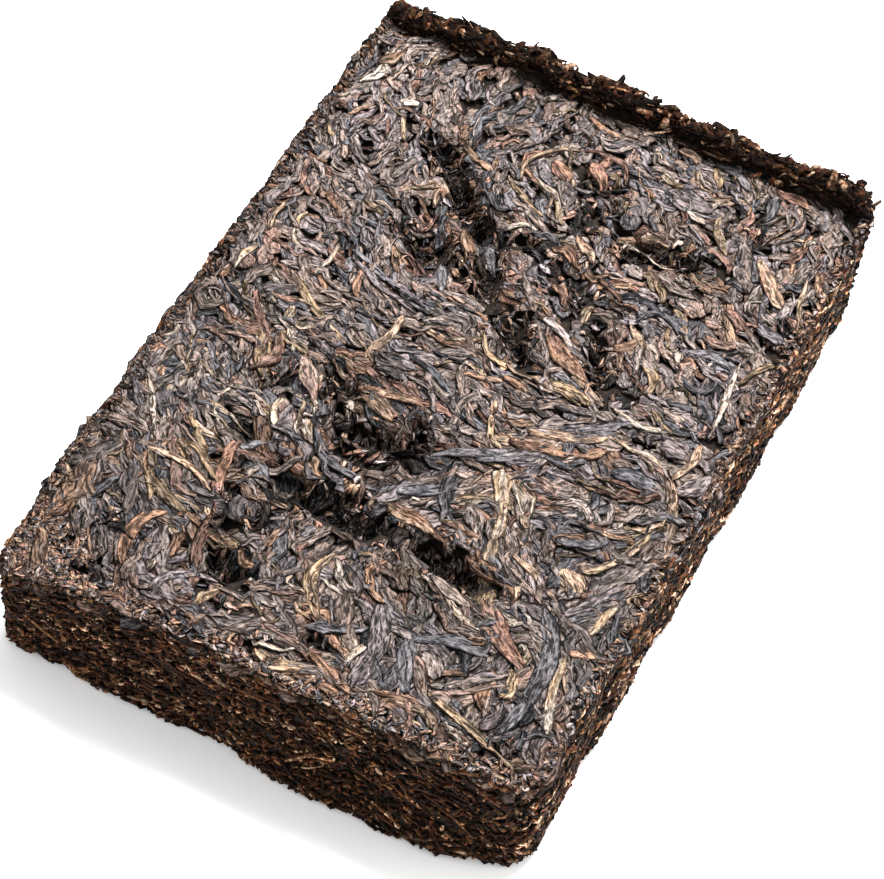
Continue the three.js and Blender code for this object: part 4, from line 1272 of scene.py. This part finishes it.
def featured_leaves(rng, pressed, leaves):
    """The leaves and twigs that stand out, each in its own place. Later rounds keep off them."""
    numbers = np.array([row[1:] for row in FEATURED], dtype=float)
    widths, count = numbers[:, :3], len(numbers)
    s = np.linspace(0, 1, (FEATURED_STEPS - 1) * FEATURED_FINE + 1)[None]
    flat = arcs_through(numbers[:, 3:].reshape(-1, 3, 2), s[..., None])
    wide = np.stack([np.interp(s.ravel(), (0, 0.5, 1), row) for row in widths])
    phase = rng.uniform(0, TURN, (4, count, 1))
    wide = wide * (1 + 0.12 * np.sin(7 * s + phase[0]) + 0.06 * np.sin(17 * s + phase[1]))
    wide = wide * (1 - 0.75 * np.abs(2 * s - 1) ** 9)
    for axis in (0, 1):
        flat[..., axis] += 0.15 * np.sin(8 * s + phase[2 + axis])
    room = HALF_WIDTH - FEATURED_INSIDE - wide / 2
    flat[..., 0] = np.clip(flat[..., 0], -room, room)
    flat[..., 1] = np.maximum(flat[..., 1], wide / 2 + FEATURED_INSIDE - HALF_LENGTH)
    pressed.claim(flat, wide)
    flat, wide = flat[:, ::FEATURED_FINE], wide[:, ::FEATURED_FINE]
    tone = np.array([TONES[row[0]] for row in FEATURED]) + rng.normal(0, 0.02, count)
    shade = rng.uniform(*FEATURED_SHADE, count)
    fold = (rng.uniform(*FEATURED_FOLD, count), wide.mean(1) / 1.1, rng.uniform(0, TURN, count))
    reach = rng.uniform(*FEATURED_REACH, count)
    lay_leaves(rng, pressed, leaves, flat, wide, 0.35 + 0.04 * wide, reach, tone, shade, 7, fold,
               FEATURED_LIFTS, rng.uniform(*FEATURED_CREASE, count))


# name of each wall, how many flakes it has and the way out of it
WALLS = [("front", 3600, (0, -1, 0)), ("right", 4600, (1, 0, 0)),
         ("back", 3200, (0, 1, 0)), ("left", 4400, (-1, 0, 0))]
FLAKE_WIDTH, FLAKE_THICKNESS = (0.28, 0.7), (0.7, 1.6)
WIDTH_TAPER, THICKNESS_TAPER = np.array([0.55, 1, 0.55]), np.array([0.5, 1, 0.5])
FLAKE_LENGTH, LONG_WALL_LONGER = (0.7, 2.0), 1.4
FLAKE_TILT, LONG_WALL_FLATTER, FLAKE_SAG, FLAKE_ROLL = 0.5, 0.2, 0.3, 0.4
FLAKE_OUT, FLAKE_CURL, FLAKE_OUTERMOST = (-0.7, 0.0), 0.25, 0.1
LONG_FLAKES, LONG_FLAKE_LENGTH = 0.06, (4, 8)


def wall_flakes(rng, leaves, side, count, way_out):
    """Leaf edges in the layers of a wall. Those of the long walls are longer, lie flatter and are more
    uneven in brightness."""
    long_wall = side % 2
    half = HALF_LENGTH if long_wall else HALF_WIDTH
    t = rng.uniform(-1, 1, count)
    u, v = wall_uv(np.full(count, side), t)
    top = face_height(*round_corner(u * HALF_WIDTH * 0.99, v * HALF_LENGTH * 0.99))
    z = 0.3 + rng.random(count) * (top - 0.4)
    shortest, longest = FLAKE_LENGTH
    length = np.where(rng.random(count) < LONG_FLAKES, rng.uniform(*LONG_FLAKE_LENGTH, count),
                      rng.uniform(shortest, longest + LONG_WALL_LONGER * long_wall, count))
    tilt = rng.normal(0, FLAKE_TILT - LONG_WALL_FLATTER * long_wall, count)
    sag = rng.normal(0, FLAKE_SAG, count)
    s = np.linspace(-0.5, 0.5, 3)[None]
    along = length[:, None] * s
    ts = np.clip(t[:, None] + along * np.cos(tilt)[:, None] / half, -1, 1)
    thick = rng.uniform(*FLAKE_THICKNESS, count)[:, None] * THICKNESS_TAPER
    wide = rng.uniform(*FLAKE_WIDTH, count)[:, None] * WIDTH_TAPER
    zs = z[:, None] + along * np.sin(tilt)[:, None] + sag[:, None] * (1 - 4 * s * s) * 0.5
    zs = np.clip(zs, 0.05 + wide, top[:, None] - 0.5 - wide / 2)
    out = rng.uniform(*FLAKE_OUT, count)[:, None]
    out = out + FLAKE_CURL * np.cos(s * 5 + rng.uniform(0, TURN, (count, 1)))
    path = np.stack([*wall_point(side, ts, zs, np.minimum(out, FLAKE_OUTERMOST)), zs], -1)
    roll = rng.normal(0, FLAKE_ROLL, (count, 1)) + np.zeros(3)
    streak = noise(t * half / 7 + 20 * side, z / 0.9, 67)
    chance = rng.random(count)
    shade = 4.1 * chance ** 2.3 if long_wall else 0.32 + 1.62 * chance
    shade = shade * (1 + (0.6 + 0.7 * long_wall) * (streak - 0.5))
    patch = 0.35 * (noise(t * half / 9 + 20 * side, z / 2, 69) - 0.5)
    tone = np.clip(rng.random(count) ** 1.3 + patch + 0.12 * long_wall, 0, 1)
    leaves.add(path, facing(path, way_out), wide, thick, roll, tone, shade)


RIM_CRUMB_LENGTH, RIM_CRUMB_WIDTH, RIM_CRUMB_THICKNESS = (1.2, 3.4), (0.7, 1.9), (0.4, 0.8)
RIM_CRUMB_ROLL, RIM_LUMPS, RIM_TALL_LUMP = (-1.5, 1.5), 2.2, 0.9
INNER_SHARE, STRAND_SHARE, LONG_SHARE, TALL_SHARE = 0.5, 0.07, 0.2, 0.05
CURL_RADIUS, CURL_ARC, CURL_WIDTH, CURL_THICKNESS = (0.7, 1.6), (2.5, 5.2), (0.7, 1.5), 0.3


def rim_crumbs(rng, leaves, count):
    """Crumbled leaf ends on the back rim. Half of them lie along its inner side, painted darker as the
    shade on that side, with a few pale strands, and the others on top, standing out every way."""
    steps = 4
    x = rng.uniform(-HALF_WIDTH + 0.8, HALF_WIDTH - 1.2, count)
    start = HALF_LENGTH - rim_thickness(x) - RIM_SLOPE / 2
    inner = rng.random(count) < INNER_SHARE

    def either(inside, on_top):
        return np.where(inner, inside, on_top)

    y = either(start + 0.5 + RIM_SLOPE * rng.uniform(0.0, 1.0, count),
               start + RIM_SLOPE + (HALF_LENGTH - 0.7 - start - RIM_SLOPE) * rng.random(count))
    x, y = round_corner(x, y)
    lumps = RIM_LUMPS * (noise(x / 2.4, y / 3, 71) - 0.58)
    lumps = lumps + RIM_TALL_LUMP * (rng.random(count) < TALL_SHARE)
    z = face_height(x, y) - 1.1 + 0.4 * rng.random(count) + lumps * (1 - inner)
    length = rng.uniform(*RIM_CRUMB_LENGTH, count) * np.where(rng.random(count) < LONG_SHARE, 1.7, 1.0)
    length = length * either(1.6, 1.0)
    way = either(rng.normal(0, 0.45, count), rng.uniform(0, TURN, count))
    flat = bent(rng, np.stack([x, y], -1), way, length, rng.normal(0, 1.2, count), steps)
    strand = inner & (rng.random(count) < STRAND_SHARE)
    s = np.linspace(-0.5, 0.5, steps)[None]
    lift = rng.normal(0.0, 0.4, count) * either(0.35, 1.0)
    arch = rng.normal(0, 0.4, (count, 1)) * (1 - 4 * s * s)
    zs = z[:, None] + length[:, None] * s * np.sin(lift)[:, None] + arch
    flat[..., 0] = np.clip(flat[..., 0], -HALF_WIDTH + 0.5, HALF_WIDTH - 0.5)
    flat[..., 1] = np.clip(flat[..., 1], start[:, None] + 0.2, HALF_LENGTH - 0.4)
    path = at_height(flat, zs)
    wide = rng.uniform(*RIM_CRUMB_WIDTH, (count, 1)) * form(rng, count, steps, 0.6)
    wide = wide * either(0.7, 1.0)[:, None]
    thick = wide * rng.uniform(*RIM_CRUMB_THICKNESS, (count, 1))
    roll = rng.uniform(*RIM_CRUMB_ROLL, (count, 1)) + np.zeros((1, steps))
    # the inner crumbs are painted darker, in tone and in shade, as the shade on the rim's inner side
    tone = either(rng.uniform(0, 0.4, count), rng.random(count) ** 1.3)
    tone = np.where(strand, rng.uniform(0.85, 1.0, count), tone)
    shade = rng.uniform(0.4, 1.4, count) * either(0.42, 0.7)
    shade = np.where(strand, rng.uniform(0.5, 1.1, count), shade)
    leaves.add(path, facing(path, (0, 0, 1)), wide, thick, roll, tone, shade)


def rim_curls(rng, leaves, count):
    """Rolled leaf ends along the back rim."""
    steps = 9
    x = np.linspace(-HALF_WIDTH + 2, HALF_WIDTH - 4, count) + rng.normal(0, 0.6, count)
    y = HALF_LENGTH - rng.uniform(1.0, 3.4, count)
    middle = np.stack([x, y, face_height(x, y) + rng.uniform(-0.9, 0.1, count)], -1)[:, None]
    radius = rng.uniform(*CURL_RADIUS, count)[:, None, None]
    arc = rng.uniform(*CURL_ARC, count)
    angle = rng.uniform(0, TURN, count)[:, None] + arc[:, None] * np.linspace(-0.5, 0.5, steps)[None]
    axis = unit(np.stack([rng.normal(0, lean, count) for lean in (1, 1, 0.5)], -1))
    one = unit(np.cross(axis, (0, 0, 1)))
    two = np.cross(axis, one)
    cos, sin = np.cos(angle)[..., None], np.sin(angle)[..., None]
    path = middle + radius * (cos * one[:, None] + sin * two[:, None])
    path[..., 1] = np.minimum(path[..., 1], HALF_LENGTH - 0.2)
    wide = rng.uniform(*CURL_WIDTH, (count, 1)) * form(rng, count, steps)
    thick = np.full((count, steps), CURL_THICKNESS)
    tone = np.where(rng.random(count) < 0.3, rng.uniform(0.85, 1.0, count), rng.uniform(0.1, 0.7, count))
    shade = rng.uniform(0.5, 1.0, count)
    leaves.add(path, unit(path - middle), wide, thick, np.zeros((count, steps)), tone, shade, 3)


# thin strands on the inner side of the back rim: tone, width, and the two ends
RIM_STRANDS = [
    ("pale", 0.6, -10.5, 67.8, -3.0, 65.8), ("tan", 0.5, -7.5, 68.6, -1.0, 67.2),
    ("pale", 0.5, 5.5, 65.6, 10.5, 69.0), ("brown", 0.7, -27.0, 67.6, -20.0, 67.0),
    ("tan", 0.5, 17.0, 65.8, 22.0, 67.2), ("pale", 0.4, 30.0, 66.2, 33.5, 67.6),
]


def rim_strands(rng, leaves):
    """The single strands that show on the inner side of the back rim."""
    steps, count = 8, len(RIM_STRANDS)
    s = np.linspace(0, 1, steps)
    x0, y0, x1, y1 = np.array([row[2:] for row in RIM_STRANDS]).T[..., None]
    x = x0 + s * (x1 - x0)
    y = y0 + s * (y1 - y0) + 0.3 * np.sin(5 * s + rng.uniform(0, TURN, (count, 1)))
    path = np.stack([x, y, face_height(x, y) + 0.55], -1)
    wide = np.array([[row[1]] for row in RIM_STRANDS]) * form(rng, count, steps, 0.4)
    tone = np.array([TONES[row[0]] for row in RIM_STRANDS])
    up = facing(path, unit(np.array([0, -0.5, 1.0])))
    leaves.add(path, up, wide, 0.6 * wide, np.zeros((count, steps)), tone, np.full(count, 1.5))


UNDER_BACK_X, UNDER_BACK_Y = 3.6, 4.8
UNDER_HIGH, UNDER_LOW, UNDER_UNEVEN = 0.16, 0.27, 0.06
UNDER_LENGTH, UNDER_WIDTH, UNDER_THICKNESS, UNDER_SHADE = (5, 13), (1.8, 4.4), 0.45, (0.38, 0.85)


def under_leaves(rng, leaves, count):
    """Leaves pressed flat against the mould's plate, on the underside, the last ones lowest."""
    steps = 6
    middle = spread(rng, count, (-HALF_WIDTH + 2, -HALF_LENGTH + 3), (HALF_WIDTH - 2, HALF_LENGTH - 3))
    flat = traced(rng, middle * (1, -1), rng.uniform(*UNDER_LENGTH, count), 0.5, 0.6, steps) * (1, -1)
    limit = np.array([HALF_WIDTH - UNDER_BACK_X, HALF_LENGTH - UNDER_BACK_Y])
    flat = np.clip(flat, -limit, limit)
    wide = rng.uniform(*UNDER_WIDTH, (count, 1)) * form(rng, count, steps)
    thick = np.full((count, steps), UNDER_THICKNESS)
    layer = np.linspace(UNDER_HIGH, 0, count)[:, None]
    z = UNDER_LOW + layer + rng.uniform(0, UNDER_UNEVEN, (count, steps))
    path = at_height(flat, z)
    leaves.add(path, facing(path, (0, 0, -1)), wide, thick, np.zeros((count, steps)),
               leaf_tones(rng, count), rng.uniform(*UNDER_SHADE, count))


GAP_CRUMBS, PIT_CRUMBS, CORNER_CRUMBS = 2100, 1300, 420
RIM_CRUMBS, RIM_CURLS, UNDER_LEAVES = 1800, 100, 1250
# side, how many, how broad the band is and how bright; the left band is painted darker, as the shade along
# the left rim
EDGE_CRUMBS = [(0, 600, 3.6, 1.2), (1, 520, 1.8, 1.0), (3, 520, 1.6, 0.6)]
# how far under the pressed face the first leaves lie
GROUND_UNDER_FACE = 1.2


def build():
    """The core first, then each kind of leaf. The leaves of the face are laid from the bottom up."""
    rng = np.random.default_rng(2024)
    core()
    face, wall = leaf_material(), wall_material()

    pressed = Pressed(lambda x, y: pressed_face(x, y) - GROUND_UNDER_FACE)
    kinds = {name: Leaves() for name in ("crumbs", "patches", "strips", "shreds", "threads", "featured")}
    gap_crumbs(rng, pressed, kinds["crumbs"], GAP_CRUMBS)
    face_leaves(rng, pressed, kinds, FACE_ROUNDS)
    pit_crumbs(rng, pressed, kinds["crumbs"], PIT_CRUMBS)
    featured_leaves(rng, pressed, kinds["featured"])
    face_leaves(rng, pressed, kinds, LAST_ROUNDS)
    for side, count, band, bright in EDGE_CRUMBS:
        edge_crumbs(rng, pressed, kinds["crumbs"], side, count, band, bright)
    corner_crumbs(rng, pressed, kinds["crumbs"], CORNER_CRUMBS)
    for name, leaves in kinds.items():
        leaves.make("face_" + name, face)

    for side, (name, count, way_out) in enumerate(WALLS):
        leaves = Leaves()
        wall_flakes(rng, leaves, side, count, way_out)
        leaves.make("wall_" + name, wall)
    rim = Leaves()
    rim_crumbs(rng, rim, RIM_CRUMBS)
    rim_curls(rng, rim, RIM_CURLS)
    rim_strands(rng, rim)
    rim.make("rim_crumbs", wall)
    under = Leaves()
    under_leaves(rng, under, UNDER_LEAVES)
    under.make("under_leaves", face)


build()

# ---- floor, light and camera -----------------------------------------------------------------------


# in metres and watts: half the floor's width and how it glows, the point that the lights look at, and the
# name, place, side and power of each square light
FLOOR_HALF, FLOOR_GLOW = 3.0, 0.14
LIT_POINT = (0, 0, 0.02)
LIGHTS = [("key", (0.06, 0.22, 0.56), 0.3, 8.1), ("side", (0.85, 0.15, 0.65), 0.4, 3)]
# the camera that fits the photo: metres, radians and pixels
CAMERA_TARGET, CAMERA_DISTANCE = (-0.002773, 0.006193, 0.0), 0.71891
CAMERA_AZIMUTH, CAMERA_ELEVATION, CAMERA_ROLL = 0.30616, 0.85364, 0.18202
FOCAL_PIXELS, PHOTO_PIXELS, SENSOR = 4385.28, 884, 36


def floor():
    """A wide white floor that glows a little, so that it comes out as white as the photo's ground."""
    corners = [(x * FLOOR_HALF, y * FLOOR_HALF, 0) for x, y in ((-1, -1), (1, -1), (1, 1), (-1, 1))]
    mesh = bpy.data.meshes.new("floor")
    mesh.from_pydata(corners, [], [(0, 1, 2, 3)])
    n = Nodes("floor_white")
    n.surface((0.95, 0.95, 0.95, 1), 0.9, 0.1)
    n.shader.inputs["Emission Color"].default_value = (1, 1, 1, 1)
    n.shader.inputs["Emission Strength"].default_value = FLOOR_GLOW
    mesh.materials.append(n.material)
    put_in_scene("floor", mesh)


def area_light(name, where, side, power):
    """A square light that looks at the lit point."""
    light = bpy.data.lights.new(name, "AREA")
    light.shape = "RECTANGLE"
    light.size, light.size_y = side, side
    light.energy = power
    made = put_in_scene(name, light)
    made.location = where
    made.rotation_euler = Vector(np.subtract(LIT_POINT, where)).to_track_quat("-Z", "Y").to_euler()


def camera():
    """Looks at the target along azimuth and elevation, turned about its own axis by the roll."""
    level = math.cos(CAMERA_ELEVATION)
    back = np.array([math.sin(CAMERA_AZIMUTH) * level, -math.cos(CAMERA_AZIMUTH) * level,
                     math.sin(CAMERA_ELEVATION)])
    right = unit(np.cross(-back, (0, 0, 1)))
    up = np.cross(right, -back)
    cos, sin = math.cos(CAMERA_ROLL), math.sin(CAMERA_ROLL)
    right, up = cos * right + sin * up, cos * up - sin * right
    turned = Matrix([(*row, 0) for row in np.stack([right, up, back], 1)] + [(0, 0, 0, 1)])
    data = bpy.data.cameras.new("camera")
    data.sensor_width = SENSOR
    data.lens = FOCAL_PIXELS / PHOTO_PIXELS * SENSOR
    data.clip_start, data.clip_end = 0.05, 20
    made = put_in_scene("camera", data)
    made.matrix_world = Matrix.Translation(Vector(CAMERA_TARGET) + Vector(back) * CAMERA_DISTANCE) @ turned
    bpy.context.scene.camera = made


def studio():
    """An even white world round the floor, the lights and the camera."""
    world = bpy.data.worlds.new("studio")
    bpy.context.scene.world = world
    world.use_nodes = True
    background = world.node_tree.nodes["Background"]
    background.inputs["Color"].default_value = (1, 1, 1, 1)
    background.inputs["Strength"].default_value = 1.0
    bpy.context.scene.view_settings.view_transform = "Standard"
    floor()
    for light in LIGHTS:
        area_light(*light)
    camera()


studio()
